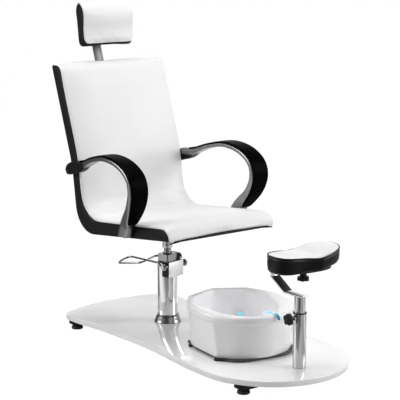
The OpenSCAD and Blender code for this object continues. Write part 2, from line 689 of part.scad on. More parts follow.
// On the back's rear face: Y out of it, Z up along it, from its top edge
module on_rear() let(p = rear_pt(0, 0)) translate([0, p[0], p[1]]) rotate([-rear_lean, 0, 0]) children();
function rear_at(out, up) = rear_pt(0, 0) + out * rear_out + up * rear_dir;
guide_top = -32;
guide_h = 80;
guide_wall = 4;
guide_half = bar_w / 2 + gap + guide_wall;
guide_flange = 18;
guide_plate_half = guide_half + guide_flange;
guide_pitch = 52;
wood_screw_d = 5;
wood_head_d = 9;
wood_head_h = 3;
module guide_screw_places() on_rear() for (x = [-1, 1], z = [-1, 1])
    translate([x * (guide_plate_half - guide_flange / 2), 0, guide_top - (guide_h + z * guide_pitch) / 2])
        rotate([90, 0, 0]) children();
module guide_screw_holes() guide_screw_places()
    translate([0, 0, -10]) cylinder(h = foam_t - 2 + 10, d = wood_screw_d + 2 * gap, $fn = 24);
module headrest_guide() color("dimgray") difference() {
    on_rear() translate([0, 0, guide_top - guide_h]) union() {
        translate([-guide_plate_half, 0, 0]) cube([2 * guide_plate_half, guide_wall, guide_h]);
        translate([-guide_half, 0, 0])
            cube([2 * guide_half, bar_off + bar_t / 2 + gap + guide_wall, guide_h]);
    }
    on_rear() translate([-bar_w / 2 - gap, bar_off - bar_t / 2 - gap, guide_top - guide_h - 1])
        cube([bar_w + 2 * gap, bar_t + 2 * gap, guide_h + 2]);
    on_rear() translate([-bar_w / 2 - gap, guide_wall, guide_top - guide_h - 1])
        cube([bar_w + 2 * gap, bar_off - bar_t / 2 - gap - 2 * guide_wall, guide_h + 2]);
    guide_screw_holes();
}
module guide_screws() color("silver") guide_screw_places() {
    translate([0, 0, -guide_wall - wood_head_h]) cylinder(h = wood_head_h, d = wood_head_d, $fn = 32);
    translate([0, 0, -guide_wall - eps])
        cylinder(h = guide_wall + foam_t - 5, d = wood_screw_d, $fn = 24);
}

// Headrest side curves in (Y, Z) from its lower rear corner
head_foot = [424, 1137];
head_lean = 8.8;
head_dir = [sin(head_lean), cos(head_lean)];
head_back = [cos(head_lean), -sin(head_lean)];
function head_at(out, up) = head_foot + out * head_back + up * head_dir;
module on_head() translate([0, head_foot[0], head_foot[1]]) rotate([-head_lean, 0, 0]) children();
head_k = head_pad_h / 174;
// Height up the pad, and its front face ahead of the rear face
head_front = spline([for (p = [[-6, 50], [12, 46], [50, 47], [92, 58], [122, 60], [146, 50], [162, 32],
    [167, 12]]) head_at(-p[1], head_k * p[0])], 2);
head_rear = [for (p = [[-10, 30], [-8, 12], [0, 2], [10, 0], [30, 0], [50, 0], [70, 0], [85, 0], [100, 0],
    [115, 0], [128, 0], [140, 1], [150, 3], [158, 6], [163, 10]]) head_at(-p[1], head_k * p[0])];
function head_inset(v, t) = [for (i = [0:len(v) - 1])
    let(d = v[min(i + 1, len(v) - 1)] - v[max(i - 1, 0)], n = [d[1], -d[0]] / norm(d)) v[i] + t * n];
head_skin = 2.5;
head_board_t = 9;
head_side_t = 5;
head_half = head_pad_w / 2;
module headrest_cushion() color("white") {
    steps = [[1, 0.4], [0.975, 1], [0.9, 3], [0.6, 5], [0, 6]];
    base = head_inset(head_rear, -head_skin - head_board_t);
    body = [for (s = steps) [s[0] * (head_half - head_side_t - gap), s[1], base]];
    skin = [for (s = edge_steps)
        [head_half - s[0] * head_side_t / panel_t, -s[1], head_inset(head_front, lap)]];
    half = concat(skin, body);
    strip_loft([for (s = both_sides(half))
        [for (p = concat(back_to_front(s[2]), head_inset(head_front, -s[1]))) [s[0], p[0], p[1]]]]);
}
module headrest_cover() color("#1c1c1c") difference() {
    union() {
        across(-head_half, head_half)
            polygon(concat(head_rear, back_to_front(head_inset(head_rear, -head_skin))));
        mirrored() across(head_half - head_side_t, head_half)
            polygon(concat(head_rear, back_to_front(head_inset(head_front, lap + gap))));
    }
    bar_screw_holes();
}
module headrest_board() color("burlywood") difference() {
    on_head() translate([gap - head_half + head_side_t + 2, -head_skin - head_board_t + gap, 14])
        cube([2 * (head_half - head_side_t - gap - 2), head_board_t - 2 * gap, 108 * head_k]);
    bar_screw_holes();
}
bar_low = -205;
bar_high = 88;
// Outline of a flat bar bent along the points of v
function ribbon(v, t) =
    let(n = len(v) - 1,
        d = [for (i = [0:n - 1]) let(w = v[i + 1] - v[i]) [-w[1], w[0]] / norm(w)],
        m = [for (i = [0:n]) let(a = d[max(i - 1, 0)], b = d[min(i, n - 1)]) (a + b) / (1 + a * b)])
    concat([for (i = [0:n]) v[i] + m[i] * t / 2], [for (i = [n:-1:0]) v[i] - m[i] * t / 2]);
bar_screw_up = [50, 82];
module bar_screw_places() on_head() for (x = [-10, 10], z = bar_screw_up)
    translate([x, 0, z]) rotate([90, 0, 0]) children();
module bar_screw_holes() bar_screw_places()
    translate([0, 0, -20]) cylinder(h = 40, d = wood_screw_d + 2 * gap, $fn = 24);
module headrest_bar() color("gray") difference() {
    across(-bar_w / 2, bar_w / 2) polygon(ribbon([
        rear_at(bar_off, bar_low), rear_at(bar_off, bar_high),
        head_at(bar_t / 2 + seam, 24), head_at(bar_t / 2 + seam, 98)], bar_t));
    bar_screw_holes();
}
module bar_screws() color("silver") bar_screw_places() {
    translate([0, 0, -bar_t - seam - wood_head_h]) cylinder(h = wood_head_h, d = wood_head_d, $fn = 32);
    translate([0, 0, -bar_t - seam - eps])
        cylinder(h = bar_t + head_board_t + 1, d = wood_screw_d, $fn = 24);
}

// ---------------------------------------------------------------- foot rest

bush_h = 40;
bush_lip = 4;
column_bore = column_d - 2 * tube_wall;
column_plate_t = 5;
plate_bolt_grip = 16;
module column_tube() color("silver") difference() {
    union() {
        translate([0, -column_y, board_under]) tube(column_d, tube_wall, column_top - board_under);
        translate([-column_d / 2 + tube_wall / 2, -column_y, clamp_z]) rotate([0, -90, 0])
            cylinder(h = boss_h + tube_wall / 2, d = boss_d);
    }
    translate([0, -column_y, clamp_z]) rotate([0, -90, 0])
        cylinder(h = column_d, d = clamp_screw_d + 2 * gap);
}
boss_d = 16;
boss_h = 6;
clamp_z = column_top - 14;
clamp_screw_d = 8;
plate_x = 50;
plate_front = 48;
plate_rear = column_y - foot_front_y - rail_w / 2;
module plate_bolt_places() for (x = [-1, 1], y = [12 - plate_front, -10])
    translate([x * (plate_x - 12), y - column_y, board_under]) children();
module column_plate() color("dimgray") difference() {
    translate([-plate_x, -column_y - plate_front, board_under - column_plate_t])
        cube([2 * plate_x, plate_front + plate_rear - gap, column_plate_t]);
    plate_bolt_places() translate([0, 0, -column_plate_t - 1]) cylinder(h = 20, d = 6 + 2 * gap);
}
module plate_bolts() color("silver") plate_bolt_places() translate([0, 0, -column_plate_t - 4]) {
    hex(10, 4);
    cylinder(h = column_plate_t + 3 + plate_bolt_grip - 1, d = 6, $fn = 24);
}
module column_bush() color("black") translate([0, -column_y, column_top]) difference() {
    union() {
        translate([0, 0, gap]) cylinder(h = bush_lip, d = column_d + 1.5, $fn = 64);
        translate([0, 0, -bush_h]) cylinder(h = bush_h + 1, d = column_bore - 2 * fit, $fn = 64);
    }
    translate([0, 0, -bush_h - 1]) cylinder(h = bush_h + bush_lip + 3, d = post_d + 2 * fit, $fn = 64);
}
post_low = 110;
module post_tube() color("silver") translate([0, -column_y, post_low]) tube(post_d, 2, post_top - post_low);

// Five-lobed knob along +Z, its face at the origin
module star_knob(d, h) {
    difference() {
        cylinder(h = h, d = d, $fn = 64);
        for (a = [0:72:288]) rotate(a + 36) translate([d * 0.62, 0, -1]) cylinder(h = h + 2, d = d * 0.42);
    }
    translate([0, 0, -6]) cylinder(h = 6 + eps, d = d * 0.42);
}
clamp_knob_d = 42;
clamp_knob_h = 14;
clamp_reach = 24;
module clamp_knob() color("black")
    translate([-column_bore / 2 - gap, -column_y, clamp_z]) rotate([0, -90, 0]) {
        cylinder(h = clamp_reach, d = clamp_screw_d, $fn = 32);
        translate([0, 0, clamp_reach]) star_knob(clamp_knob_d, clamp_knob_h);
    }
pad_y = -column_y - 15;
knob_stem_d = 24;
pad_stud_d = 10;
knob_stem_h = 22;
pad_knob_d = 42;
pad_knob_h = 14;
module footrest_bracket() color("silver") difference() {
    z0 = post_top + bracket_t / 2;
    z1 = z0 + bracket_gap + bracket_t;
    front = -column_y - post_d / 2 - 7;
    rear = -column_y + 64;
    back = rear + 70;
    across(-20, 20) polygon(ribbon([[front, z0], [rear, z0], [back, z0 + 45], [back, z1],
        [pad_y - 28, z1]], bracket_t));
    translate([0, pad_y, z1 - bracket_t]) cylinder(h = 2 * bracket_t, d = pad_stud_d + 2 * gap);
}
module pad_knob() color("black") translate([0, pad_y, pad_bottom - bracket_t - gap]) {
    translate([0, 0, -knob_stem_h]) cylinder(h = knob_stem_h, d = knob_stem_d, $fn = 48);
    translate([0, 0, -knob_stem_h]) mirror([0, 0, 1]) star_knob(pad_knob_d, pad_knob_h);
    cylinder(h = bracket_t + gap + pad_board_t - 1, d = pad_stud_d, $fn = 32);
}
pad_board_t = 10;
pad_skin = 3;
pad_turn = -4;
// Plan outline of the pad at a share of its size, from the middle of its left side
function pad_plan(k) = oval(k * pad_w / 2, k * pad_d / 2, 0.8, 40);
function horn(x) = let(u = x / (pad_w / 2)) (u < 0 ? pad_horn_low : pad_horn_high) * pow(abs(u), 1.6);
function pad_low(x) = gap + 16 * max(0, (x / (pad_w / 2) + 0.4) / 1.4);
function pad_rim(x) = pad_t - 3 + 0.68 * horn(x);
function pad_ring(k, share) =
    [for (p = pad_plan(k)) [p[0], p[1], mix(pad_low(p[0]), pad_rim(p[0]), share)]];
module at_pad() translate([0, pad_y, pad_bottom]) rotate(pad_turn) children();
// Up the outside of the skirt and down its inside
skirt_levels = [[0.95, 0], [0.985, 0.2], [1, 0.55], [0.975, 1], [0.945, 1], [0.96, 0.55], [0.95, 0.2],
    [0.915, 0]];
module pad_skirt() color("#222222") at_pad()
    wall_loft([for (s = skirt_levels) pad_ring(s[0], s[1])]);
module pad_board() color("burlywood") at_pad() difference() {
    translate([0, 0, gap]) linear_extrude(pad_board_t - gap)
        polygon([for (p = pad_plan(0.8)) [p[0], p[1]]]);
    translate([0, 0, -1]) cylinder(h = pad_board_t + 2, d = pad_stud_d + 2 * fit);
}
module pad_cushion() color("white") at_pad() {
    foam_low = pad_board_t + 6;
    top = [for (s = [[0.95, 0], [0.94, 2], [0.86, 5], [0.7, 7], [0.5, 7], [0.25, 6]])
        [for (p = pad_plan(s[0])) [p[0], p[1],
            pad_t - 3 + mix(0.68 * horn(p[0]), horn(p[0]) * 0.95, min(1, 1.6 * (1 - s[0]))) + s[1] + gap]]];
    low = [for (p = pad_plan(0.9)) [p[0], p[1], pad_board_t + gap + 14 * max(0, p[0] / (pad_w / 2))]];
    loft(concat([low, pad_ring(0.935, 0.55), pad_ring(0.93, 1)], top));
}

// ---------------------------------------------------------------- foot bath

// Right half of the bath's outline as shares of its half width and half depth, front to rear
foot_plan = [[0, -1.01], [0.3, -1.005], [0.53, -0.985], [0.72, -0.9], [0.86, -0.79], [0.965, -0.54],
    [0.985, -0.48], [0.995, -0.1], [0.995, 0.19], [0.93, 0.53], [0.79, 0.73], [0.55, 0.89], [0.27, 0.97],
    [0, 1]];
rim_plan = [[0, -1], [0.17, -0.985], [0.32, -0.95], [0.61, -0.8], [0.78, -0.67], [0.88, -0.53],
    [0.93, -0.42], [0.985, -0.2], [1, 0.06], [0.955, 0.3], [0.86, 0.52], [0.66, 0.74], [0.36, 0.91],
    [0, 0.955]];
bath_feet_h = 5;
bath_base_t = 3;
bath_low = bath_feet_h + bath_base_t + gap;
rim_w = 38;
module at_bath() translate([0, -bath_y, board_top]) rotate(-bath_turn) children();
// A ring between the foot's outline (share 0) and the rim's (share 1), moved in by inset
function bath_ring(share, inset, z) =
    let(half = [for (i = [0:len(foot_plan) - 1])
            [mix(foot_plan[i][0] * bath_foot_x, rim_plan[i][0] * bath_rim_x, share),
             mix(foot_plan[i][1] * bath_foot_y, rim_plan[i][1] * bath_rim_y, share)]],
        right = spline(half, 2), n = len(right) - 1,
        ring = concat(right, [for (i = [n - 1:-1:1]) [-right[i][0], right[i][1]]]))
    [for (i = [0:2 * n - 1])
        let(v = unit(ring[(i + 1) % (2 * n)] - ring[(i + 2 * n - 1) % (2 * n)]),
            k = inset * (1 - rear_slim * ease(ring[i][1] / bath_rim_y + 0.6)))
        [ring[i][0] - k * v[1], ring[i][1] + k * v[0],
            z + bath_rise * max(0, z - bath_h / 2) / bath_h * (1 + ring[i][1] / bath_rim_y)]];
// How far the rim's rear stands above its front
bath_rise = 12;
// Share of the front rim's width that the rear rim lacks
rear_slim = 0.55;
// Share, inset and height of each ring, up the outside, over the rim and down the basin
bath_levels = [
    [0, 5, bath_low], [0, 0, bath_low + 5], [0.4, 0, bath_h - 56], [0.55, 0, bath_h - 33],
    [0.95, 2, bath_h - 27], [1, 0, bath_h - 22], [1, 0, bath_h - 12], [1, 3, bath_h - 5], [1, 10, bath_h],
    [1, rim_w - 10, bath_h - 1], [1, rim_w, bath_h - 6], [0.62, bath_wall + 16, bath_h - 34],
    [0.35, bath_wall + 8, bath_h - 62], [0, bath_wall + 10, bath_low + 40],
    [0, bath_wall + 36, bath_low + bath_wall]];
module bath_body() color("white") at_bath() difference() {
    loft([for (s = bath_levels) bath_ring(s[0], s[1], s[2])]);
    lens_place() translate([0, 0, -gap]) linear_extrude(lens_len) lens_profile(gap);
    lamp_place() translate([0, 0, -gap]) cylinder(h = 30, d = lamp_d + 2 * gap, $fn = 48);
}
module bath_base() color("gray") at_bath()
    translate([0, 0, bath_feet_h]) linear_extrude(bath_base_t)
        polygon([for (p = bath_ring(0, 10, 0)) [p[0], p[1]]]);
bath_feet_in = [38, 66];
module bath_feet() color("black") at_bath() for (x = [-1, 1], y = [-1, 1])
    translate([x * (bath_foot_x - bath_feet_in[0]), y * (bath_foot_y - bath_feet_in[1]), 0])
        cylinder(h = bath_feet_h, d1 = 22, d2 = 26, $fn = 32);
// A lit lens let into the basin's wall: its middle, turn about Z and depth behind it
lamp_d = 30;
lamp_t = 9;
lamp_at = [97, 158, 74];
lamp_turn = -31;
lamp_back = 13;
module lamp_place() translate(lamp_at) rotate([90, 0, lamp_turn]) translate([0, 0, -lamp_back]) children();
module bath_lamp() color("cyan") at_bath() lamp_place() cylinder(h = lamp_t, d = lamp_d, $fn = 48);
// A clear channel over the rim's front
lens_len = 76;
lens_w = 30;
lens_t = 10;
lens_proud = 3;
lens_out = 4;
module lens_place() translate([lens_x, -bath_rim_y - lens_out, bath_h - lens_t + lens_proud])
    rotate([-90, 0, 0]) children();
lens_x = 22;
module lens_profile(grow) translate([-lens_w / 2 - grow, -lens_t - grow])
    square([lens_w + 2 * grow, lens_t + grow]);
module bath_spout() color("deepskyblue") at_bath()
    lens_place() linear_extrude(lens_len - 2 * gap) lens_profile(0);

// ---------------------------------------------------------------- nodes

// Middle of the footprint: the headrest bar's bend is the rearmost point
rear_reach = rear_at(bar_off, bar_high)[0] + bar_t / 2;
origin_y = (rear_reach - board_front_y - board_front_r) / 2;
module place() translate([0, -origin_y, 0]) children();

place() base_board();
place() rear_rail();
place() front_rail();
place() spine_rail();
place() rail_caps();
place() foot_rear_left();
place() foot_rear_right();
place() foot_front_left();
place() foot_front_right();
place() pump_flange();
place() flange_bolts();
place() pump_skirt();
place() skirt_screw();
place() pump_cylinder();
place() pump_head();
place() head_cap();
place() valve_block();
place() pump_plunger();
place() piston_seal();
place() piston();
place() lever();
place() lever_shaft();
place() lever_bolts();
place() seat_hub();
place() seat_plate();
place() plate_screws();
place() seat_core();
place() rear_cover();
place() seat_cushion();
place() side_panel_left();
place() side_panel_right();
place() piping();
place() arm_left();
place() arm_right();
place() arm_pad_left();
place() arm_pad_right();
place() headrest_guide();
place() guide_screws();
place() headrest_bar();
place() headrest_board();
place() headrest_cushion();
place() headrest_cover();
place() bar_screws();
place() column_tube();
place() column_plate();
place() plate_bolts();
place() column_bush();
place() clamp_knob();
place() post_tube();
place() footrest_bracket();
place() pad_knob();
place() pad_board();
place() pad_skirt();
place() pad_cushion();
place() bath_body();
place() bath_base();
place() bath_feet();
place() bath_lamp();
place() bath_spout();
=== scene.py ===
"""Pedicure spa chair: soft goods, finishes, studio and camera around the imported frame."""

import json
import math

import bmesh
import bpy
from bpy.props import FloatProperty, FloatVectorProperty, PointerProperty
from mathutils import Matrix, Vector

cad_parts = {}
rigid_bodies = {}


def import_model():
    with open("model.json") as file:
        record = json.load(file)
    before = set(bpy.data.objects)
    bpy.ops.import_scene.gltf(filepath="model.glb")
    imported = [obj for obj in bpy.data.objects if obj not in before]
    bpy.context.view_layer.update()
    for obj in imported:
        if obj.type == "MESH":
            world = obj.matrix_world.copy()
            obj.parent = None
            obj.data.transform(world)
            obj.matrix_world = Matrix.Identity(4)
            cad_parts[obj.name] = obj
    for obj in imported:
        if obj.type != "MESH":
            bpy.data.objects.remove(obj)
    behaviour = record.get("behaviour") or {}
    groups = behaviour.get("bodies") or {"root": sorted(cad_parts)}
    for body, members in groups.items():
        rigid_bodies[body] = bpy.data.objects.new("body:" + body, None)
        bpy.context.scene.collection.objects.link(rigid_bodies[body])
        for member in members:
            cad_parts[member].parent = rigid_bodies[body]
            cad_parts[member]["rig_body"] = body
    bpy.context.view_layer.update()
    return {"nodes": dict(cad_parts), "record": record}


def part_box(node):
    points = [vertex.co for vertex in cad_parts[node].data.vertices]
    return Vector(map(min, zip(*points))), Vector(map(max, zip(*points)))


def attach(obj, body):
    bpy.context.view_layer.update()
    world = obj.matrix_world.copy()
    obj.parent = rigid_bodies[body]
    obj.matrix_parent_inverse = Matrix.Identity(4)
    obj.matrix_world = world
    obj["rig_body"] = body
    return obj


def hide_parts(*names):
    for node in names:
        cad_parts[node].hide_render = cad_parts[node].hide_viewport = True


bl_info = {
    "name": "Pedicure Spa Chair",
    "version": (1, 0, 0),
    "blender": (4, 5, 0),
    "location": "View3D > Sidebar > Spa Chair",
    "description": "Upholstery, foot bath, trim and finishes of a pedicure spa chair",
    "category": "Add Mesh",
}

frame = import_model()
MM = 0.001
SLOTS = {part["node"]: part["material_slot"] for part in frame["record"]["subparts"]}
PUMP_LOW, PUMP_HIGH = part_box("pump_cylinder")
PUMP_Y = (PUMP_LOW.y + PUMP_HIGH.y) / 2


def mix(a, b, t):
    return a + (b - a) * t


def clamp(v):
    return max(0.0, min(1.0, v))


def ease(t):
    t = clamp(t)
    return t * t * (3 - 2 * t)


def at(x, y, z):
    """Millimetres from the pump's axis and the floor to the scene's metres."""
    return Vector((x * MM, y * MM + PUMP_Y, z * MM))


def sind(a):
    return math.sin(math.radians(a))


def cosd(a):
    return math.cos(math.radians(a))


def between(a, b, t):
    """The point at a share t of the way from a to b."""
    return tuple(mix(p, q, t) for p, q in zip(a, b))


def arc(c, r, a0, a1, n):
    """n steps of the circle round c from the angle a0 to a1."""
    return [(c[0] + r * cosd(mix(a0, a1, i / n)), c[1] + r * sind(mix(a0, a1, i / n))) for i in range(n + 1)]


def bend(a, b, c, n):
    """n steps from a to c, which leave a and reach c in line with the corner b."""
    return [between(between(a, b, i / n), between(b, c, i / n), i / n) for i in range(n + 1)]


def spline(v, k):
    """A smooth curve through the points of v, k steps between neighbours."""
    out = []
    for i in range(len(v) - 1):
        p, q, r, s = v[max(i - 1, 0)], v[i], v[i + 1], v[min(i + 2, len(v) - 1)]
        for j in range(k):
            t = j / k
            out.append(tuple((2 * b + (c - a) * t + (2 * a - 5 * b + 4 * c - d) * t * t
                              + (3 * b - a - 3 * c + d) * t ** 3) / 2 for a, b, c, d in zip(p, q, r, s)))
    return out + [tuple(v[-1])]


def resample(v, n):
    """n points at even distances along the line v."""
    reach = [0.0]
    for a, b in zip(v, v[1:]):
        reach.append(reach[-1] + math.dist(a, b))
    out, k = [], 0
    for i in range(n):
        d = reach[-1] * i / (n - 1)
        while k < len(v) - 2 and reach[k + 1] < d:
            k += 1
        t = clamp((d - reach[k]) / max(1e-9, reach[k + 1] - reach[k]))
        out.append(between(v[k], v[k + 1], t))
    return out


def normals(v):
    """Unit normals along a flat line, to its left."""
    out = []
    for i in range(len(v)):
        a, b = v[max(i - 1, 0)], v[min(i + 1, len(v) - 1)]
        d = math.dist(a, b) or 1.0
        out.append((-(b[1] - a[1]) / d, (b[0] - a[0]) / d))
    return out


def oval(a, b, e, n):
    """n points round an oval of half sizes a and b. The lower e is, the squarer it is."""
    out = []
    for i in range(n):
        c, s = cosd(360 * i / n), sind(360 * i / n)
        out.append((a * math.copysign(abs(c) ** e, c), b * math.copysign(abs(s) ** e, s)))
    return out


# ---------------------------------------------------------------- mesh tools

def clear_selection():
    if bpy.context.object and bpy.context.object.mode != "OBJECT":
        bpy.ops.object.mode_set(mode="OBJECT")
    bpy.ops.object.select_all(action="DESELECT")


def pick(piece):
    clear_selection()
    piece.select_set(True)
    bpy.context.view_layer.objects.active = piece


def edit(piece, *steps):
    """Runs the steps in edit mode with everything selected before each."""
    pick(piece)
    bpy.ops.object.mode_set(mode="EDIT")
    for step in steps:
        bpy.ops.mesh.select_all(action="SELECT")
        step()
    bpy.ops.object.mode_set(mode="OBJECT")


def modify(piece, kind, **values):
    pick(piece)
    mod = piece.modifiers.new(kind.title(), kind)
    for key, value in values.items():
        setattr(mod, key, value)
    bpy.ops.object.modifier_apply(modifier=mod.name)


def divide(piece, levels=1):
    modify(piece, "SUBSURF", levels=levels, render_levels=levels)


def smooth(piece, angle=None):
    pick(piece)
    if angle is None:
        bpy.ops.object.shade_smooth()
    else:
        bpy.ops.object.shade_smooth_by_angle(angle=math.radians(angle))


def wrap(name, rings, loop=False, subdivide=0, angle=None):
    """A grid wrapped round the rings, whose points are (x, y, z) in mm. Its ends are filled, or joined."""
    clear_selection()
    n, rows = len(rings[0]), list(rings)
    if loop:
        rows.append(rings[0])
    bpy.ops.mesh.primitive_grid_add(x_subdivisions=n, y_subdivisions=len(rows) - 1, size=1.0)
    piece = bpy.context.object
    piece.name = piece.data.name = name
    verts = piece.data.vertices
    for r, ring in enumerate(rows):
        for c in range(n + 1):
            verts[r * (n + 1) + c].co = at(*ring[c % n])
    edit(piece, lambda: bpy.ops.mesh.remove_doubles(threshold=1e-6))
    if not loop:
        edit(piece, close_ends)
    edit(piece, lambda: bpy.ops.mesh.normals_make_consistent(inside=False))
    if subdivide:
        divide(piece, subdivide)
    smooth(piece, angle)
    return piece


def close_ends():
    """Fills each open end with a face, inset once so that it stays crisp when it is smoothed."""
    bpy.ops.mesh.select_all(action="DESELECT")
    bpy.ops.mesh.select_mode(type="EDGE")
    bpy.ops.mesh.select_non_manifold(extend=False, use_wire=False, use_boundary=True, use_multi_face=False,
                                     use_non_contiguous=False, use_verts=False)
    bpy.ops.mesh.fill_holes(sides=0)
    bpy.ops.mesh.select_mode(type="FACE")
    bpy.ops.mesh.select_all(action="DESELECT")
    bm = bmesh.from_edit_mesh(bpy.context.object.data)
    for face in bm.faces:
        face.select = len(face.verts) > 4
    bmesh.update_edit_mesh(bpy.context.object.data)
    bpy.ops.mesh.inset(thickness=0.0006, depth=0)
    bpy.ops.mesh.poke()


def circle(middle, u, v, r, sides):
    """Points round the middle in the plane of the vectors u and v."""
    return [tuple(Vector(middle) + (u * cosd(360 * j / sides) + v * sind(360 * j / sides)) * r)
            for j in range(sides)]


def tube(name, path, r, sides, swell=lambda share: 1.0):
    """A round bar along a path of (x, y, z) in mm. swell gives its share of the radius along it."""
    rings, last = [], None
    for i, p in enumerate(path):
        a, b = Vector(path[max(i - 1, 0)]), Vector(path[min(i + 1, len(path) - 1)])
        d = (b - a).normalized()
        if last is None:
            last = d.orthogonal().normalized()
        last = (last - d * last.dot(d)).normalized()
        rings.append(circle(p, last, d.cross(last), r * swell(i / (len(path) - 1)), sides))
    return wrap(name, rings)


def loop_tube(name, path, r):
    """A round bar along a closed path of (x, y, z) in mm."""
    rings, n = [], len(path)
    for i in range(n):
        d = (Vector(path[(i + 1) % n]) - Vector(path[i - 1])).normalized()
        u = Vector((0, 0, 1))
        u = (u - d * u.dot(d)).normalized()
        rings.append(circle(path[i], u, d.cross(u), r, 10))
    return wrap(name, rings, loop=True)


def refined(node, name, material, bevel=0.0, subdivide=0, angle=35):
    """A merged copy of a CAD node with eased edges, which stands for it."""
    source = frame["nodes"][node]
    clear_selection()
    piece = source.copy()
    piece.data = source.data.copy()
    piece.name = piece.data.name = name
    for key in list(piece.keys()):
        del piece[key]
    piece.parent = None
    bpy.context.scene.collection.objects.link(piece)
    piece.hide_render = piece.hide_viewport = False
    edit(piece, lambda: bpy.ops.mesh.remove_doubles(threshold=2e-6),
         lambda: bpy.ops.mesh.tris_convert_to_quads(face_threshold=0.7, shape_threshold=0.7))
    if piece.data.has_custom_normals:
        bpy.ops.mesh.customdata_custom_splitnormals_clear()
    if subdivide:
        divide(piece, subdivide)
    if bevel:
        modify(piece, "BEVEL", width=bevel * MM, segments=2, limit_method="ANGLE",
               angle_limit=math.radians(angle), use_clamp_overlap=True)
    smooth(piece, angle)
    return finish_piece(piece, material, source["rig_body"], SLOTS[node], node)


SWELL_PRESSURE, HIDE_STIFFNESS, SWELL_FRAMES = 3.0, 15.0, 20


def inflate(piece, cap, pinned=lambda place: 0.0):
    """Swells a closed skin as cloth, by cap mm at most. Where pinned gives 1, the skin is held."""
    start = [v.co.copy() for v in piece.data.vertices]
    pick(piece)
    group = piece.vertex_groups.new(name="held")
    for v in piece.data.vertices:
        group.add([v.index], pinned(v.co), "REPLACE")
    mod = piece.modifiers.new("Cloth", "CLOTH")
    mod.settings.use_pressure = True
    mod.settings.uniform_pressure_force = SWELL_PRESSURE
    mod.settings.tension_stiffness = mod.settings.compression_stiffness = HIDE_STIFFNESS
    mod.settings.bending_stiffness = 2.0
    mod.settings.quality = 4
    mod.settings.mass = 0.3
    mod.settings.vertex_group_mass = "held"
    mod.settings.effector_weights.gravity = 0.0
    mod.collision_settings.use_collision = False
    mod.point_cache.frame_start, mod.point_cache.frame_end = 1, SWELL_FRAMES
    for f in range(1, SWELL_FRAMES + 1):
        bpy.context.scene.frame_set(f)
    bpy.ops.object.modifier_apply(modifier=mod.name)
    bpy.context.scene.frame_set(1)
    for v, rest in zip(piece.data.vertices, start):
        move = v.co - rest
        if move.length > cap * MM:
            v.co = rest + move * (cap * MM / move.length)
    piece.vertex_groups.clear()


def finish_piece(piece, material, body, slot, *nodes):
    """Gives a piece its material, its body and the CAD nodes it stands for. The slot is not used."""
    piece.data.materials.clear()
    piece.data.materials.append(material)
    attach(piece, body)
    if nodes:
        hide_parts(*nodes)
    return piece


def dress(material, *nodes):
    """Puts a material on CAD nodes that stay as they are."""
    for name in nodes:
        node = frame["nodes"][name]
        if not node.data.materials:
            node.data.materials.append(material)
        for entry in node.material_slots:
            entry.material = material


# ---------------------------------------------------------------- shader maths

DARK, LIGHT = (0.0, 0.0, 0.0, 1.0), (1.0, 1.0, 1.0, 1.0)


class Value:
    """A socket that adds Math nodes when it is used in an expression."""

    def __init__(self, shader, socket):
        self.shader, self.socket = shader, socket

    def math(self, operation, a, b=None):
        return self.shader.node("ShaderNodeMath", {"operation": operation}, {0: a, 1: b})

    def __add__(self, other):
        return self.math("ADD", self, other)

    __radd__ = __add__

    def __rsub__(self, other):
        return self.math("SUBTRACT", other, self)

    def __mul__(self, other):
        return self.math("MULTIPLY", self, other)

    __rmul__ = __mul__

    def above(self, edge, soft):
        """0 below the edge and 1 above it, with a soft step between."""
        return self.shader.node("ShaderNodeMapRange", {"interpolation_type": "SMOOTHSTEP"},
                                {"Value": self, "From Min": edge - soft, "From Max": edge + soft})


class Finish:
    """One Principled material. Its nodes come from node(), and its maths from Value."""

    def __init__(self, name, color, roughness, metallic=0.0, **constants):
        self.material = bpy.data.materials.new(name)
        self.material.use_nodes = True
        self.tree = self.material.node_tree
        self.surface = next(n for n in self.tree.nodes if n.type == "BSDF_PRINCIPLED")
        self.color = tuple(color) + (1.0,)
        self.put("Base Color", self.color)
        self.put("Roughness", roughness)
        self.put("Metallic", metallic)
        for key, value in constants.items():
            self.put(key.replace("_", " ").title().replace("Ior", "IOR"), value)
        self.place = self.node("ShaderNodeTexCoord", {}, {}, "Object")

    def put(self, socket, value):
        self.set(self.surface.inputs[socket], value)

    def set(self, socket, value):
        if isinstance(value, Value):
            self.tree.links.new(value.socket, socket)
        elif value is not None:
            socket.default_value = value

    def node(self, kind, settings, inputs, output=0):
        node = self.tree.nodes.new(kind)
        for key, value in settings.items():
            if key == "stops":
                for i, (where, shade) in enumerate(value):
                    stop = node.color_ramp.elements[i] if i < 2 else node.color_ramp.elements.new(where)
                    stop.position, stop.color = where, shade
            else:
                setattr(node, key, value)
        for key, value in inputs.items():
            self.set(node.inputs[key], value)
        return Value(self, node.outputs[output])

    def noise(self, scale, detail, roughness=0.55, stretch=(1, 1, 1)):
        spot = self.node("ShaderNodeMapping", {}, {"Vector": self.place, "Scale": stretch})
        return self.node("ShaderNodeTexNoise", {}, {"Vector": spot, "Scale": scale, "Detail": detail,
                                                    "Roughness": roughness})

    def cell_walls(self, scale):
        return self.node("ShaderNodeTexVoronoi", {"feature": "DISTANCE_TO_EDGE"},
                         {"Vector": self.place, "Scale": scale})

    def blend(self, factor, a, b):
        return self.node("ShaderNodeMix", {"data_type": "RGBA"}, {0: factor, 6: a, 7: b}, 2)

    def shade(self, mask, other, share=1.0):
        """Varies the colour towards other where the mask is high."""
        self.put("Base Color", self.blend(mask * share, self.color, tuple(other) + (1.0,)))

    def bump(self, height, strength, distance):
        self.put("Normal", self.node("ShaderNodeBump", {}, {"Height": height, "Strength": strength,
                                                            "Distance": distance}))


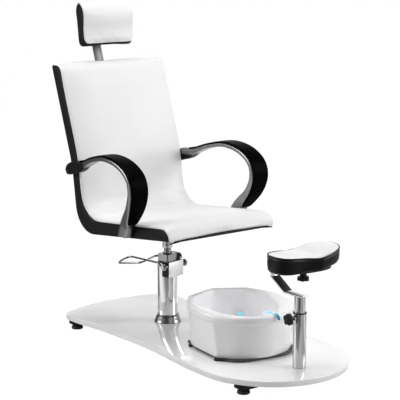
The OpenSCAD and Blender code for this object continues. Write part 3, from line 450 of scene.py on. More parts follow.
def leather(name, color, roughness, wear, fineness=1.0, **constants):
    """Grained hide: cells and pores in it, faint creases over it, and a worn tone in drifts."""
    f = Finish(name, color, roughness, ior=1.48, **constants)
    drift = f.noise(7.0, 4.0)
    grain = f.cell_walls(620.0 * fineness)
    pores = f.noise(1500.0, 2.0)
    creases = f.noise(34.0, 5.0, 0.6)
    f.shade(drift.above(0.55, 0.2), wear, 0.6)
    f.put("Roughness", roughness - 0.05 + drift * 0.1 + grain * 0.06)
    f.bump(grain.above(0.12, 0.12) + pores * 0.35 + creases * 0.8, 0.22, 0.00025)
    return f.material


def moulded(name, color, roughness, grain=900.0, depth=0.12, **constants):
    """Plastic, rubber, paint or cloth with a fine speckled grain."""
    f = Finish(name, color, roughness, **constants)
    speck = f.noise(grain, 2.0)
    drift = f.noise(11.0, 3.0)
    f.shade(drift.above(0.5, 0.4), tuple(clamp(c * 0.95) for c in color), 0.5)
    f.put("Roughness", roughness - 0.04 + drift * 0.08)
    f.bump(speck, depth, 0.00012)
    return f.material


def polished(name, color, roughness, brushing=0.0, stretch=(1, 1, 1)):
    """Metal with a faint haze, and brushed lines where brushing is given."""
    f = Finish(name, color, roughness, 1.0)
    haze = f.noise(16.0, 4.0)
    f.shade(haze.above(0.55, 0.25), tuple(c * 0.93 for c in color), 0.7)
    if brushing:
        lines = f.noise(420.0, 2.0, 0.6, stretch)
        f.put("Roughness", roughness - brushing * 0.5 + haze * 0.05 + lines * brushing)
        f.bump(lines, 0.1, 0.00006)
    else:
        f.put("Roughness", roughness + haze * 0.03)
        f.bump(f.noise(60.0, 2.0), 0.03, 0.0001)
    return f.material


def lacquer(name, color, roughness):
    """Sprayed gloss under a clear coat, with a little orange peel and a few duller spots."""
    f = Finish(name, color, roughness, coat_weight=0.6, coat_roughness=0.03)
    peel = f.noise(150.0, 2.0)
    drift = f.noise(3.0, 2.0)
    f.shade(drift.above(0.5, 0.4), tuple(c * 0.975 for c in color), 0.6)
    f.put("Roughness", roughness + f.noise(24.0, 5.0).above(0.62, 0.1) * 0.04)
    f.bump(peel, 0.01, 0.0001)
    return f.material


def timber(name, light, dark):
    """Plywood with its grain along X and its plies stacked up."""
    f = Finish(name, light, 0.6)
    grain = f.noise(30.0, 5.0, 0.6, (1, 6, 6))
    plies = f.node("ShaderNodeTexWave", {"bands_direction": "Z"},
                   {"Vector": f.place, "Scale": 110.0, "Distortion": 1.5})
    f.shade(grain.above(0.5, 0.2) * 0.6 + plies * 0.4, dark)
    f.bump(grain, 0.2, 0.0003)
    return f.material


def lit_lens(name, shell, color, glow, centre, radius):
    """A light that shows through the lens round its centre, and fades to the shell's tone at radius mm."""
    f = Finish(name, shell, 0.16, emission_strength=glow, coat_weight=0.4)
    reach = f.node("ShaderNodeVectorMath", {"operation": "DISTANCE"}, {0: f.place, 1: at(*centre)}, "Value")
    lit = 1 - reach.above(0.62 * radius * MM, 0.38 * radius * MM)
    f.shade(lit, tuple(color))
    ripple = f.noise(120.0, 2.0).above(0.5, 0.25)
    core = f.blend(ripple * 0.6, tuple(color) + (1.0,), tuple(clamp(c + 0.35) for c in color) + (1.0,))
    f.put("Emission Color", f.blend(lit, DARK, core))
    return f.material


# ---------------------------------------------------------------- settings

class SpaChairSizes(bpy.types.PropertyGroup):
    crown: FloatProperty(name="Seat crown", description="Height of the padding between the seat's sides",
                         default=11 * MM, min=0.0, max=20 * MM, unit="LENGTH")
    swell: FloatProperty(name="Swell", description="How far the padding may swell out of its first shape",
                         default=4 * MM, min=0.0, max=10 * MM, unit="LENGTH")
    piping: FloatProperty(name="Piping", description="Diameter of the black piping along the seat's sides",
                          default=5 * MM, min=2 * MM, max=8 * MM, unit="LENGTH")
    bead: FloatProperty(name="Front bead", description="Thickness of the bead under the seat's front edge",
                        default=11 * MM, min=4 * MM, max=13 * MM, unit="LENGTH")
    arch: FloatProperty(name="Front arch", description="Rise of the seat's front edge between its corners",
                        default=7 * MM, min=0.0, max=15 * MM, unit="LENGTH")
    strip: FloatProperty(name="Arm strip", description="Thickness of the soft strip on each arm",
                         default=6 * MM, min=2 * MM, max=8 * MM, unit="LENGTH")


class SpaChairColours(bpy.types.PropertyGroup):
    white_hide: FloatVectorProperty(name="White hide", description="Colour of the seat's white leather",
                                    default=(0.80, 0.80, 0.80), subtype="COLOR", size=3, min=0.0, max=1.0)
    black_hide: FloatVectorProperty(name="Black hide", description="Colour of the sides and the back",
                                    default=(0.005, 0.005, 0.0053), subtype="COLOR", size=3, min=0.0, max=1.0)
    arm_metal: FloatVectorProperty(name="Arm metal", description="Colour of the arms' dark polished metal",
                                   default=(0.26, 0.257, 0.255), subtype="COLOR", size=3, min=0.0, max=1.0)
    bath_shell: FloatVectorProperty(name="Bath shell", description="Colour of the foot bath's shell",
                                    default=(0.90, 0.90, 0.91), subtype="COLOR", size=3, min=0.0, max=1.0)
    lens: FloatVectorProperty(name="Lens", description="Colour of the bath's lit lenses",
                              default=(0.10, 0.62, 0.85), subtype="COLOR", size=3, min=0.0, max=1.0)


# ---------------------------------------------------------------- side curves of the seat

# Plane places are (y, z) in mm from the pump's axis and the floor, and slopes are in degrees.
# The side curve that is sat on: nose, valley, straight back and rounded top
SEAT_HALF = 252.0
SEAT_FRONT = -345.0
VALLEY, VALLEY_R = (113.0, 592.0), 110.0
NOSE_R, RISE, LEAN = 47.0, 5.3, 15.5
BACK_LENGTH, TOP_R = 495.0, 36.0
NOSE_BACK = VALLEY[0] - (VALLEY_R + NOSE_R) * sind(RISE) - SEAT_FRONT - NOSE_R
NOSE = (SEAT_FRONT + NOSE_R,
        VALLEY[1] - (VALLEY_R + NOSE_R) * cosd(RISE) + NOSE_BACK * math.tan(math.radians(RISE)))
TOP = (VALLEY[0] + (VALLEY_R + TOP_R) * cosd(LEAN) + BACK_LENGTH * sind(LEAN),
       VALLEY[1] - (VALLEY_R + TOP_R) * sind(LEAN) + BACK_LENGTH * cosd(LEAN))
# The outer side curve: underside, valley, and the rear with its bend between two leans
OUT_VALLEY, UNDER, UNDER_RISE = (159.0, 529.0), (146.929, 419.664), 6.3
LOW_LEAN, REAR_LEAN = 8.0, 19.2
REAR, REAR_R = (407.65, 1051.98), 14.0
REAR_BEND, REAR_EASE = (290.2, 672.1), 55.0
LUMBAR = 16.0
CORNER = 0.22  # share of the half width over which the seat's front edge rises from its corner


def lumbar(u):
    """Extra fullness of the back's padding at a share of its straight height, most in its lower third."""
    return LUMBAR * ease(u / 0.3) * (0.5 + 0.5 * math.cos(math.pi * clamp((u - 0.3) / 0.7)))


def face_line(t):
    """The sat-on side curve from under the seat's front to the back's rear edge, t mm into the foam."""
    low, high = arc(VALLEY, VALLEY_R + t, -90 - RISE, -LEAN, 16), arc(TOP, TOP_R - t, 180 - LEAN, 90, 12)
    back = []
    for k in range(1, 16):
        y, z = between(low[-1], high[0], k / 16)
        back.append((y - lumbar(k / 16) * cosd(LEAN), z + lumbar(k / 16) * sind(LEAN)))
    return arc(NOSE, NOSE_R - t, 177, 90 - RISE, 14) + low + back + high + arc(REAR, REAR_R - t, 90, 52, 5)


def under_at(y):
    """Height of the seat's sloping underside."""
    return UNDER[1] + (UNDER[0] - y) * math.tan(math.radians(UNDER_RISE))


def shell_line(t, start):
    """The outer side curve, from start mm behind the seat's front to the back's rear edge."""
    y = SEAT_FRONT + start
    below = (REAR_BEND[0] - REAR_EASE * sind(LOW_LEAN), REAR_BEND[1] - REAR_EASE * cosd(LOW_LEAN))
    above = (REAR_BEND[0] + REAR_EASE * sind(REAR_LEAN), REAR_BEND[1] + REAR_EASE * cosd(REAR_LEAN))
    turn = bend(below, REAR_BEND, above, 8)
    return ([(y, under_at(y) + t / cosd(UNDER_RISE))]
            + arc(OUT_VALLEY, VALLEY_R - t, -90 - UNDER_RISE, -LOW_LEAN, 16)
            + [(p[0] + t * n[0], p[1] + t * n[1]) for p, n in zip(turn, normals(turn))]
            + arc(REAR, REAR_R - t, -REAR_LEAN, 47, 8))


class Track:
    """A side curve that gives the place and the way out of the foam at any distance along it."""

    def __init__(self, line, n=420):
        self.line = resample(line, n)
        self.way = normals(self.line)
        self.length = sum(math.dist(a, b) for a, b in zip(self.line, self.line[1:]))

    def at(self, s, out=0.0):
        k = clamp(s / self.length) * (len(self.line) - 1)
        i = min(int(k), len(self.line) - 2)
        t = k - i
        return tuple(mix(self.line[i][j], self.line[i + 1][j], t)
                     + out * mix(self.way[i][j], self.way[i + 1][j], t) for j in (0, 1))


# Distance in from the side, and depth, of the white hide's rounded edge
HIDE_EDGE = [(0.0, 5.0), (0.0, 3.2), (0.5, 1.6), (1.6, 0.5), (3.4, 0.0)]
LAP = 5.0  # depth to which the white hide comes down over the cushion's sides


def across(half, edge, count):
    """Places across a cushion, each with its depth at the rounded edges."""
    inner = half - edge[-1][0] - 4
    side = [(half - e[0], e[1]) for e in edge]
    middle = [(inner * (1 - 2 * i / (count - 1)), 0.0) for i in range(count)]
    return side + middle + [(-x, d) for x, d in reversed(side)]


def front_rise(u, arch):
    """Rise of the seat's front edge at a share u of its half width."""
    return arch * ease((1 - abs(u)) / CORNER)


def pad_crown(u):
    return (1 - abs(u) ** 3) ** 0.75 if abs(u) < 1 else 0.0


# Shares of the seat's inner and outer side curves that a line across the side panel joins
PANEL_PAIRS = [(0.0, 0.0), (0.05, 0.035), (0.388, 0.395), (0.53, 0.533), (0.95, 0.966), (1.0, 1.0)]
PANEL_STEPS = [0.0, 0.012, 0.05, 0.12, 0.25, 0.42, 0.6, 0.76, 0.88, 0.95, 0.988, 1.0]
PANEL_DEPTH, ROLL, ROLL_WIDTH = 5.5, 3.2, 9.0  # thickness, and how deep and wide its edges roll in
WORN_WHITE = (0.77, 0.77, 0.768)


class SPA_OT_upholster_seat(bpy.types.Operator):
    """Make the seat's white padding, its black sides and back, and its piping"""
    bl_idname = "spa.upholster_seat"
    bl_label = "Upholster Seat"

    def execute(self, context):
        sizes, tones = context.scene.spa_sizes, context.scene.spa_colours
        self.white = leather("seat_white_leather", tones.white_hide, 0.42, WORN_WHITE)
        self.black = leather("seat_black_leather", tones.black_hide, 0.40, (0.008, 0.008, 0.008), 0.9,
                             specular_ior_level=0.14)
        self.make_padding(sizes)
        for side in (-1, 1):
            self.make_panel(side)
        self.make_piping(sizes)
        self.make_back()
        return {"FINISHED"}

    def make_padding(self, sizes):
        track = Track(face_line(0))
        crown, arch = sizes.crown / MM, sizes.arch / MM
        rows, columns = 116, across(SEAT_HALF, HIDE_EDGE, 43)
        rings = []
        for i in range(rows):
            s = track.length * i / (rows - 1)
            ends = ease(s / 50) * ease((track.length - s - 62) / 90)
            front = clamp(1 - s / 90)
            ring = []
            for x, depth in columns:
                u = x / SEAT_HALF
                tight = 1 + 0.12 * math.sin(s / 61 + 1) * math.sin(x / 83)
                out = crown * (1 - min(abs(u), 1.0) ** 6) ** 0.6 * ends * tight - depth
                ring.append((x,) + track.at(s + front_rise(u, arch) * front, out))
            for k in range(9):
                x = -(SEAT_HALF - 6) + (SEAT_HALF - 6) * 2 * k / 8
                ring.append((x,) + track.at(s + front_rise(x / SEAT_HALF, arch) * front, -(LAP + 4)))
            rings.append(ring)
        piece = wrap("seat_padding", rings)
        inflate(piece, sizes.swell / MM, lambda place: float(abs(place.x) > (SEAT_HALF - 10) * MM))
        self.pucker(piece, track)
        divide(piece)
        smooth(piece)
        finish_piece(piece, self.white, "seat", "hide_white", "seat_cushion")

    def pucker(self, piece, track):
        """Pulls small gathers into the hide at the seat's front corners and along its front seam."""
        low = track.at(0)
        for v in piece.data.vertices:
            y, z = (v.co.y - PUMP_Y) / MM, v.co.z / MM
            x = abs(v.co.x) / MM
            near = clamp(1 - math.hypot(y - low[0], z - low[1]) / 46)
            corner = clamp(1 - (SEAT_HALF - x) / 75)
            fold = math.sin(x * 0.42) * 0.55 * near * corner + math.sin(x * 0.19 + 1) * 0.16 * near
            v.co.y += fold * MM * (1 if x < SEAT_HALF - 4 else 0)

    def make_panel(self, side):
        """A side panel: its edges roll in to the piping and to the back's seam."""
        inner, outer = Track(face_line(LAP + 5)), Track(shell_line(0, LAP + 5))
        rows, rings = 120, []
        for i in range(rows):
            t = i / (rows - 1)
            k = next(j for j in range(len(PANEL_PAIRS) - 1) if t <= PANEL_PAIRS[j + 1][0])
            (t0, f0), (t1, f1) = PANEL_PAIRS[k:k + 2]
            a = inner.at(inner.length * t)
            b = outer.at(outer.length * mix(f0, f1, (t - t0) / (t1 - t0)))
            wide = math.dist(a, b)
            ring = []
            for u in PANEL_STEPS:
                edge = min(u, 1 - u) * wide
                roll = ROLL * (1 - math.sqrt(1 - (1 - clamp(edge / ROLL_WIDTH)) ** 2))
                puff = 0.5 * math.sin(math.pi * clamp(u)) ** 0.5 - 0.5
                ring.append((side * (SEAT_HALF - roll + puff),) + between(a, b, u))
            ring += [(side * (SEAT_HALF - PANEL_DEPTH),) + between(a, b, u) for u in (0.9, 0.5, 0.1)]
            rings.append(ring)
        name = "left" if side > 0 else "right"
        finish_piece(wrap("seat_side_" + name, rings), self.black, "seat", "hide_black", "side_panel_" + name)

    def make_piping(self, sizes):
        r = sizes.piping / MM / 2
        for side in (-1, 1):
            track = Track(face_line(LAP + r + 0.2))
            path = [(side * (SEAT_HALF - r + 0.8),) + track.at(track.length * i / 150) for i in range(151)]
            piece = tube("seat_piping_" + ("left" if side > 0 else "right"), path, r, 10)
            finish_piece(piece, self.black, "seat", "hide_black")
        r = sizes.bead / MM / 2
        track = Track(face_line(0))
        path = []
        for i in range(81):
            u = 1 - 2 * i / 80
            y, z = track.at(front_rise(u, sizes.arch / MM), -r * 0.72)
            path.append((u * (SEAT_HALF - 5), y + 0.6, z - r * 1.5 + 0.5))
        piece = tube("seat_front_bead", path, r, 12, lambda u: 0.45 + 0.55 * ease(min(u, 1 - u) / 0.09))
        finish_piece(piece, self.black, "seat", "hide_black", "piping")

    def make_back(self):
        """The black hide under the seat and up the back's rear, with a seam down each side."""
        track = Track(shell_line(0, 3))
        half = SEAT_HALF - 5.2
        xs = [half * (1 - 2 * k / 40) for k in range(41)]
        rows, rings = 110, []
        for i in range(rows):
            s = track.length * i / (rows - 1)
            ring = []
            for x in xs:
                u = abs(x) / half
                seam = -0.9 * math.exp(-((abs(x) - (half - 26)) / 2.2) ** 2)
                sag = 0.5 * (1 - u ** 4) * ease(s / 40) * ease((track.length - s) / 40)
                ring.append((x,) + track.at(s, -(seam + sag)))
            ring += [(x,) + track.at(s, 2.6) for x in (-half, -half / 2, 0, half / 2, half)]
            rings.append(ring)
        finish_piece(wrap("seat_rear_cover", rings), self.black, "seat", "hide_black", "rear_cover")


# ---------------------------------------------------------------- arms

# Stations along an arm: Y, Z above the seat's valley, width across, thickness, gap to the seat
ARM_STATIONS = [
    (304, 168, 18, 24, 0), (282, 180, 24, 44, 0), (240, 194, 28, 50, 0), (190, 206, 34, 46, 0),
    (146, 223, 40, 27, 1), (70, 249, 54, 22, 2), (-30, 266, 68, 25, 2), (-125, 252, 75.2, 26, 1),
    (-191, 212, 80, 27, 0), (-207, 157, 80, 32, 0), (-184, 99, 72, 38, 0), (-143, 54, 54, 49, 0),
    (-112, 20, 38, 62, 0), (-92, -10, 30, 63, 0), (-77, -31, 25, 58, 0)]
ARM_IN = 252.6  # distance of an arm's inner side from the middle, where there is no gap to the seat
VALLEY_Z = 482.0
STEPS = 6  # steps between neighbouring stations
STRIP_FIRST, STRIP_LAST = 3 * STEPS, int(11.4 * STEPS)
FOOT_TOP = 45.0  # height over the valley below which the foot's thickness is turned to lie along Y
# The black lug: where it starts, the height of its middle over the valley, and the depth of its inner side
LUG_FRONT, LUG_MIDDLE, LUG_INNER = 148.0, 199.0, 7.0
LUG_BLACK = (0.012, 0.012, 0.012, 1.0)


class SPA_OT_fit_arms(bpy.types.Operator):
    """Make the two loop arms with the soft strip on the outside of each"""
    bl_idname = "spa.fit_arms"
    bl_label = "Fit Arms"

    def execute(self, context):
        sizes, tones = context.scene.spa_sizes, context.scene.spa_colours
        self.line = spline(ARM_STATIONS, STEPS)
        metal = self.dark_metal(tones)
        rubber = moulded("arm_soft_black", (0.0016, 0.0016, 0.0018), 0.36, 500.0, 0.06,
                         specular_ior_level=0.01)
        strip = sizes.strip / MM
        for side, name in ((1, "left"), (-1, "right")):
            finish_piece(self.make_band(side, name, strip), metal, "seat", "arm_gloss", "arm_" + name)
            finish_piece(self.make_strip(side, name, strip), rubber, "seat", "arm_matte", "arm_pad_" + name)
        return {"FINISHED"}

    def dark_metal(self, tones):
        """Polished dark metal, black round the lug at the rear end but for its upper inner side."""
        f = Finish("arm_dark_metal", tones.arm_metal, 0.26, 1.0)
        haze = f.noise(16.0, 4.0).above(0.55, 0.25)
        grey = f.blend(haze * 0.7, f.color, tuple(c * 0.93 for c in tones.arm_metal) + (1.0,))
        x, y, z = (f.node("ShaderNodeSeparateXYZ", {}, {0: f.place}, axis) for axis in "XYZ")
        outer = x.math("ABSOLUTE", x).above((ARM_IN + LUG_INNER) * MM, 2 * MM)
        bare = (1 - outer) * z.above((VALLEY_Z + LUG_MIDDLE) * MM, 6 * MM)
        lug = y.above(PUMP_Y + LUG_FRONT * MM, 6 * MM) * (1 - bare)
        f.put("Base Color", f.blend(lug, grey, LUG_BLACK))
        f.put("Roughness", 0.26 + lug * 0.15)
        f.bump(f.noise(60.0, 2.0), 0.03, 0.0001)
        return f.material

    def ring(self, i, side, lift, share, thick, power):
        """A section at station i of the arm's line, lifted off it, over a share of its width."""
        y, z, width, _, gap = self.line[i]
        a, b = self.line[max(i - 1, 0)], self.line[min(i + 1, len(self.line) - 1)]
        d = math.dist(a[:2], b[:2])
        flat = ease((FOOT_TOP - z) / 50)
        n = (mix((b[1] - a[1]) / d, -1, flat), mix(-(b[0] - a[0]) / d, 0, flat))
        return [(side * (ARM_IN + gap + width / 2 + q[0]), y + n[0] * (q[1] + lift),
                 z + VALLEY_Z + n[1] * (q[1] + lift))
                for q in oval(share * width / 2, thick / 2, power, 28)]

    def make_band(self, side, name, strip):
        """The metal band, thinner where the strip is let in."""
        rings = []
        for i in range(len(self.line)):
            deep = strip * ease((i - STRIP_FIRST + 5) / 4) * ease((STRIP_LAST + 4 - i) / 3)
            rings.append(self.ring(i, side, -deep / 2, 1, self.line[i][3] - deep, 0.42))
        return wrap("arm_band_" + name, rings, subdivide=1)

    def make_strip(self, side, name, strip):
        """The soft strip, which thins out at both of its ends."""
        rings = []
        for i in range(STRIP_FIRST, STRIP_LAST + 1):
            end = clamp(min(i - STRIP_FIRST, STRIP_LAST - i) / 3.0)
            thin = math.sqrt(1 - (1 - end) ** 2)
            t = strip * mix(0.35, 1.0, thin)
            lift = self.line[i][3] / 2 - strip + t / 2 + 0.1
            rings.append(self.ring(i, side, lift, mix(0.72, 0.95, thin), t, 0.5))
        return wrap("arm_strip_" + name, rings, subdivide=1)


# ---------------------------------------------------------------- headrest

# Where its rear face starts, how far it leans back, and half its width
HEAD_FOOT, HEAD_LEAN, HEAD_HALF = (424.0, 1137.0), 8.8, 120.0
COVER_OUT = 3.2  # how far the black cover lies outside the line of the headrest's back
COVER_SHARES = (0, 0.06, 0.2, 0.4, 0.6, 0.76, 0.86, 0.93, 0.98)
# Its white face and its black back from the bottom up: how far up, and how far out ahead of its rear face
HEAD_FACE = [(-6, 48), (12, 47), (50, 49), (92, 57), (122, 59), (146, 50), (162, 32), (167, 12)]
HEAD_BACK = [(-10, 30), (-8, 12), (0, 2), (10, 0), (50, 0), (100, 0), (128, 0), (150, 3), (158, 6), (163, 10)]


def head_half(t):
    """Half the headrest's width at a share of its height: the corners are round."""
    low, high = clamp(1 - t / 0.13), clamp(1 - (1 - t) / 0.26)
    return HEAD_HALF - 17 * (1 - math.sqrt(1 - low ** 2)) - 20 * (1 - math.sqrt(1 - high ** 2))


def head_at(up, out):
    """A place on the headrest's side: up its rear face, and out ahead of it."""
    return (HEAD_FOOT[0] - out * cosd(HEAD_LEAN) + up * sind(HEAD_LEAN),
            HEAD_FOOT[1] + out * sind(HEAD_LEAN) + up * cosd(HEAD_LEAN))


def rounded_step(i, rows):
    """The share of the way at row i, with closer rows at both ends."""
    return 0.5 - 0.5 * math.cos(math.pi * i / (rows - 1))


class SPA_OT_upholster_headrest(bpy.types.Operator):
    """Make the headrest's white cushion and its black cover"""
    bl_idname = "spa.upholster_headrest"
    bl_label = "Upholster Headrest"

    def execute(self, context):
        tones = context.scene.spa_colours
        white = leather("headrest_white_leather", tones.white_hide, 0.42, WORN_WHITE, 1.05)
        black = leather("headrest_black_leather", tones.black_hide, 0.36, (0.009, 0.009, 0.009), 1.05,
                        specular_ior_level=0.14)
        self.make_cushion(white, context.scene.spa_sizes)
        self.make_cover(black)
        return {"FINISHED"}

    def make_cushion(self, white, sizes):
        track = Track([head_at(*p) for p in spline(HEAD_FACE, 6)])
        columns = across(HEAD_HALF, HIDE_EDGE, 27)
        rows, rings = 44, []
        for i in range(rows):
            t = rounded_step(i, rows)
            s = mix(3.0, track.length, t)
            ends = ease(s / 22) * ease((track.length - s) / 24)
            share = head_half(t) / HEAD_HALF
            ring = [(x * share,) + track.at(s, 5 * pad_crown(x / HEAD_HALF) * ends - depth)
                    for x, depth in columns]
            for k in range(7):
                x = (HEAD_HALF - 6) * (k / 3 - 1)
                ring.append((x * share,) + track.at(s, -(LAP + 5)))
            rings.append(ring)
        piece = wrap("headrest_padding", rings)
        inflate(piece, sizes.swell / MM * 0.7, lambda place: float(abs(place.x) > (HEAD_HALF - 8) * MM))
        low = track.at(0)
        for v in piece.data.vertices:
            y, z = (v.co.y - PUMP_Y) / MM, v.co.z / MM
            near = clamp(1 - math.hypot(y - low[0], z - low[1]) / 60)
            v.co.y -= math.sin(v.co.x / MM * 0.12 + z * 0.16) * 0.5 * near * MM
        divide(piece)
        smooth(piece)
        finish_piece(piece, white, "headrest", "hide_white", "headrest_cushion")

    def make_cover(self, black):
        """Bottom, rear and sides in one shell round the board, up to the white hide's edge."""
        face = Track([head_at(*p) for p in spline(HEAD_FACE, 6)])
        back = Track([head_at(*p) for p in spline(HEAD_BACK, 6)])
        rows, rings = 44, []
        for i in range(rows):
            t = rounded_step(i, rows)
            a, b = face.at(face.length * t, -(LAP + 1.2)), back.at(back.length * t, -COVER_OUT)
            half = head_half(t)
            ring = []
            for side, shares in ((1, COVER_SHARES), (-1, COVER_SHARES[::-1])):
                for u in shares:
                    roll = 40 * max(0.0, u - 0.86)
                    puff = 0.6 * math.sin(math.pi * u) - 0.4
                    ring.append((side * (half - roll + puff),) + between(a, b, u))
                if side > 0:
                    for k in range(13):
                        x = (half - 7) * (1 - k / 6)
                        ring.append((x,) + back.at(back.length * t, -COVER_OUT * ease((abs(x) - 40) / 45)))
            for k in range(7):
                x = (half - 1.5) * (k / 3 - 1)
                ring.append((x,) + face.at(face.length * t, -(LAP + 3)))
            rings.append(ring)
        finish_piece(wrap("headrest_shell", rings), black, "headrest", "hide_black", "headrest_cover")
        path = []
        for i in range(61):
            u = 1 - 2 * i / 60
            y, z = face.at(2 + 5 * clamp((abs(u) - 0.8) / 0.2) ** 2, -3.4)
            path.append((u * (HEAD_HALF - 14), y, z - 2.6))
        bead = tube("headrest_bead", path, 4.1, 10, lambda u: 0.35 + 0.65 * ease(min(u, 1 - u) / 0.14))
        finish_piece(bead, black, "headrest", "hide_black")


# ---------------------------------------------------------------- foot pad

PAD_Y, PAD_BOTTOM, PAD_TURN = -785.0, 423.0, -4.0
PAD_W, PAD_D, PAD_T = 276.0, 170.0, 51.5
LEFT_HORN, RIGHT_HORN, RIM_SHARE = 19.0, 42.0, 0.62  # rise of its ends, and the rim's share of the rise
# The top's rings, as shares of the outline: in under its edge, out round it, and over it to the middle
TOP_SHARES = [0.5, 0.8, 0.93, 0.965, 0.975, 0.965, 0.94, 0.9, 0.84, 0.77, 0.69, 0.6, 0.5, 0.4, 0.3, 0.2,
              0.1, 0.04]
TUCKED = (14, 14, 9, 3.5)  # depth under the rim of the top's first rings, which go round its edge
# The skirt's rings: share of the outline, and share of the way up from its foot to the rim
SKIRT_LEVELS = [(0.93, 0.0), (0.955, 0.0), (0.985, 0.12), (0.998, 0.35), (1.0, 0.6), (0.995, 0.85),
                (0.985, 1.0), (0.955, 1.0), (0.965, 0.7), (0.965, 0.3), (0.93, 0.04)]


def horn(x):
    """Rise of the pad from its middle to its left and right ends."""
    u = x / (PAD_W / 2)
    return LEFT_HORN * abs(u) ** 0.9 if u < 0 else RIGHT_HORN * u ** 1.1


def pad_at(k, angle):
    """The pad's outline at a share k of its size. It is drawn in at the left of its front."""
    c, s = cosd(angle), sind(angle)
    x = k * PAD_W / 2 * math.copysign(abs(c) ** 0.8, c)
    y = k * PAD_D / 2 * math.copysign(abs(s) ** 0.8, s)
    if y < 0:
        y *= 1 - 0.25 * math.sin(math.pi * clamp(0.1 - x / (PAD_W / 2)) ** 0.8)
    return x, y


def on_pad(x, y, z):
    """From the pad's own place to the pump's frame."""
    c, s = cosd(PAD_TURN), sind(PAD_TURN)
    return (x * c - y * s, x * s + y * c + PAD_Y, z + PAD_BOTTOM)


def pad_low(x):
    """Height of the skirt's foot, which rises towards the right."""
    return 0.3 + 26 * max(0.0, (x / (PAD_W / 2) + 0.4) / 1.4)


def pad_rim(x):
    return PAD_T - 3 + RIM_SHARE * horn(x)


class SPA_OT_upholster_foot_pad(bpy.types.Operator):
    """Make the foot pad's white top, its black skirt and the double piping between them"""
    bl_idname = "spa.upholster_foot_pad"
    bl_label = "Upholster Foot Pad"

    def execute(self, context):
        sizes, tones = context.scene.spa_sizes, context.scene.spa_colours
        white = leather("pad_white_leather", tones.white_hide, 0.42, WORN_WHITE, 1.1)
        black = leather("pad_black_leather", tones.black_hide, 0.36, (0.009, 0.009, 0.009), 1.1,
                        specular_ior_level=0.14)
        welt = leather("pad_welt_leather", tones.black_hide, 0.26, (0.02, 0.02, 0.021), 1.1)
        self.make_top(white, sizes)
        self.make_skirt(black)
        for k, name in ((0.0, "upper"), (-7.5, "lower")):
            path = [self.rim(a, 0.99, k) for a in range(0, 360, 4)]
            finish_piece(loop_tube("pad_piping_" + name, path, 2.3), welt, "foot_pad", "hide_black")
        return {"FINISHED"}

    def rim(self, angle, k, up):
        x, y = pad_at(k, angle)
        return on_pad(x, y, pad_rim(x) + up)

    def make_top(self, white, sizes):
        rings = []
        for i, k in enumerate(TOP_SHARES):
            ring = []
            for j in range(96):
                x, y = pad_at(k, 360 * j / 96)
                if i < len(TUCKED):
                    z = pad_rim(x) - TUCKED[i]
                else:
                    crown = mix(6.0, 20.0, ease((x + 40) / 90)) * pad_crown(k)
                    z = PAD_T - 2 + mix(RIM_SHARE, 0.95, clamp(1.6 * (1 - k))) * horn(x) + crown
                ring.append(on_pad(x, y, z))
            rings.append(ring)
        piece = wrap("foot_pad_padding", rings)
        inflate(piece, sizes.swell / MM * 0.6)
        divide(piece)
        smooth(piece)
        finish_piece(piece, white, "foot_pad", "hide_white", "pad_cushion")

    def make_skirt(self, black):
        rings = []
        for k, share in SKIRT_LEVELS:
            ring = []
            for j in range(96):
                x, y = pad_at(k, 360 * j / 96)
                ring.append(on_pad(x, y, mix(pad_low(x), pad_rim(x), share)))
            rings.append(ring)
        finish_piece(wrap("foot_pad_skirt", rings, loop=True), black, "foot_pad", "hide_black", "pad_skirt")


# ---------------------------------------------------------------- foot bath

# Corners of half the bath's outline, as shares of its half width and half depth, and how round each is
FOOT_CORNERS = [(0.0, -1.0, 0.4), (0.60, -0.86, 0.5), (0.95, -0.54, 0.09),
                (0.975, 0.36, 0.3), (0.74, 0.79, 0.4), (0.0, 1.0, 0.4)]
RIM_CORNERS = [(0.0, -1.0, 0.5), (0.60, -0.83, 0.5), (0.975, -0.42, 0.4),
               (0.99, 0.26, 0.35), (0.68, 0.74, 0.13), (0.0, 0.985, 0.13)]
BATH_Y, BATH_TURN, BOARD_TOP = -443.0, -9.0, 60.0
BATH_H, BATH_LOW, WALL = 166.5, 8.3, 4.0
RIM_X, RIM_Y, BASE_X, BASE_Y = 196.0, 222.0, 172.0, 200.0
# Middles of the light in the basin's wall and of the channel's round lens
LAMP, LENS = (99.0, 161.4), (20.0, -172.0, 163.5)
LAMP_Z, LAMP_WAY, LAMP_DEPTH = 71.0, 40.0, 4.0  # height, the way out through the wall, and depth kept
POCKET, REAR_LIFT = 13.0, 10.0  # how far the wall stands back round the light, and the rim's rise to the rear
# The rubber feet: place under the base, far end at the shell's corner, and radius. Then their rings:
# height and inset
FRONT_FOOT, REAR_FOOT = (134, -134, 162, -112, 12.5), (130, 128, 160, 86, 9.5)
FOOT_LEVELS = ((0, 1.5), (1, 0), (7.5, 0), (8.8, 1.5))
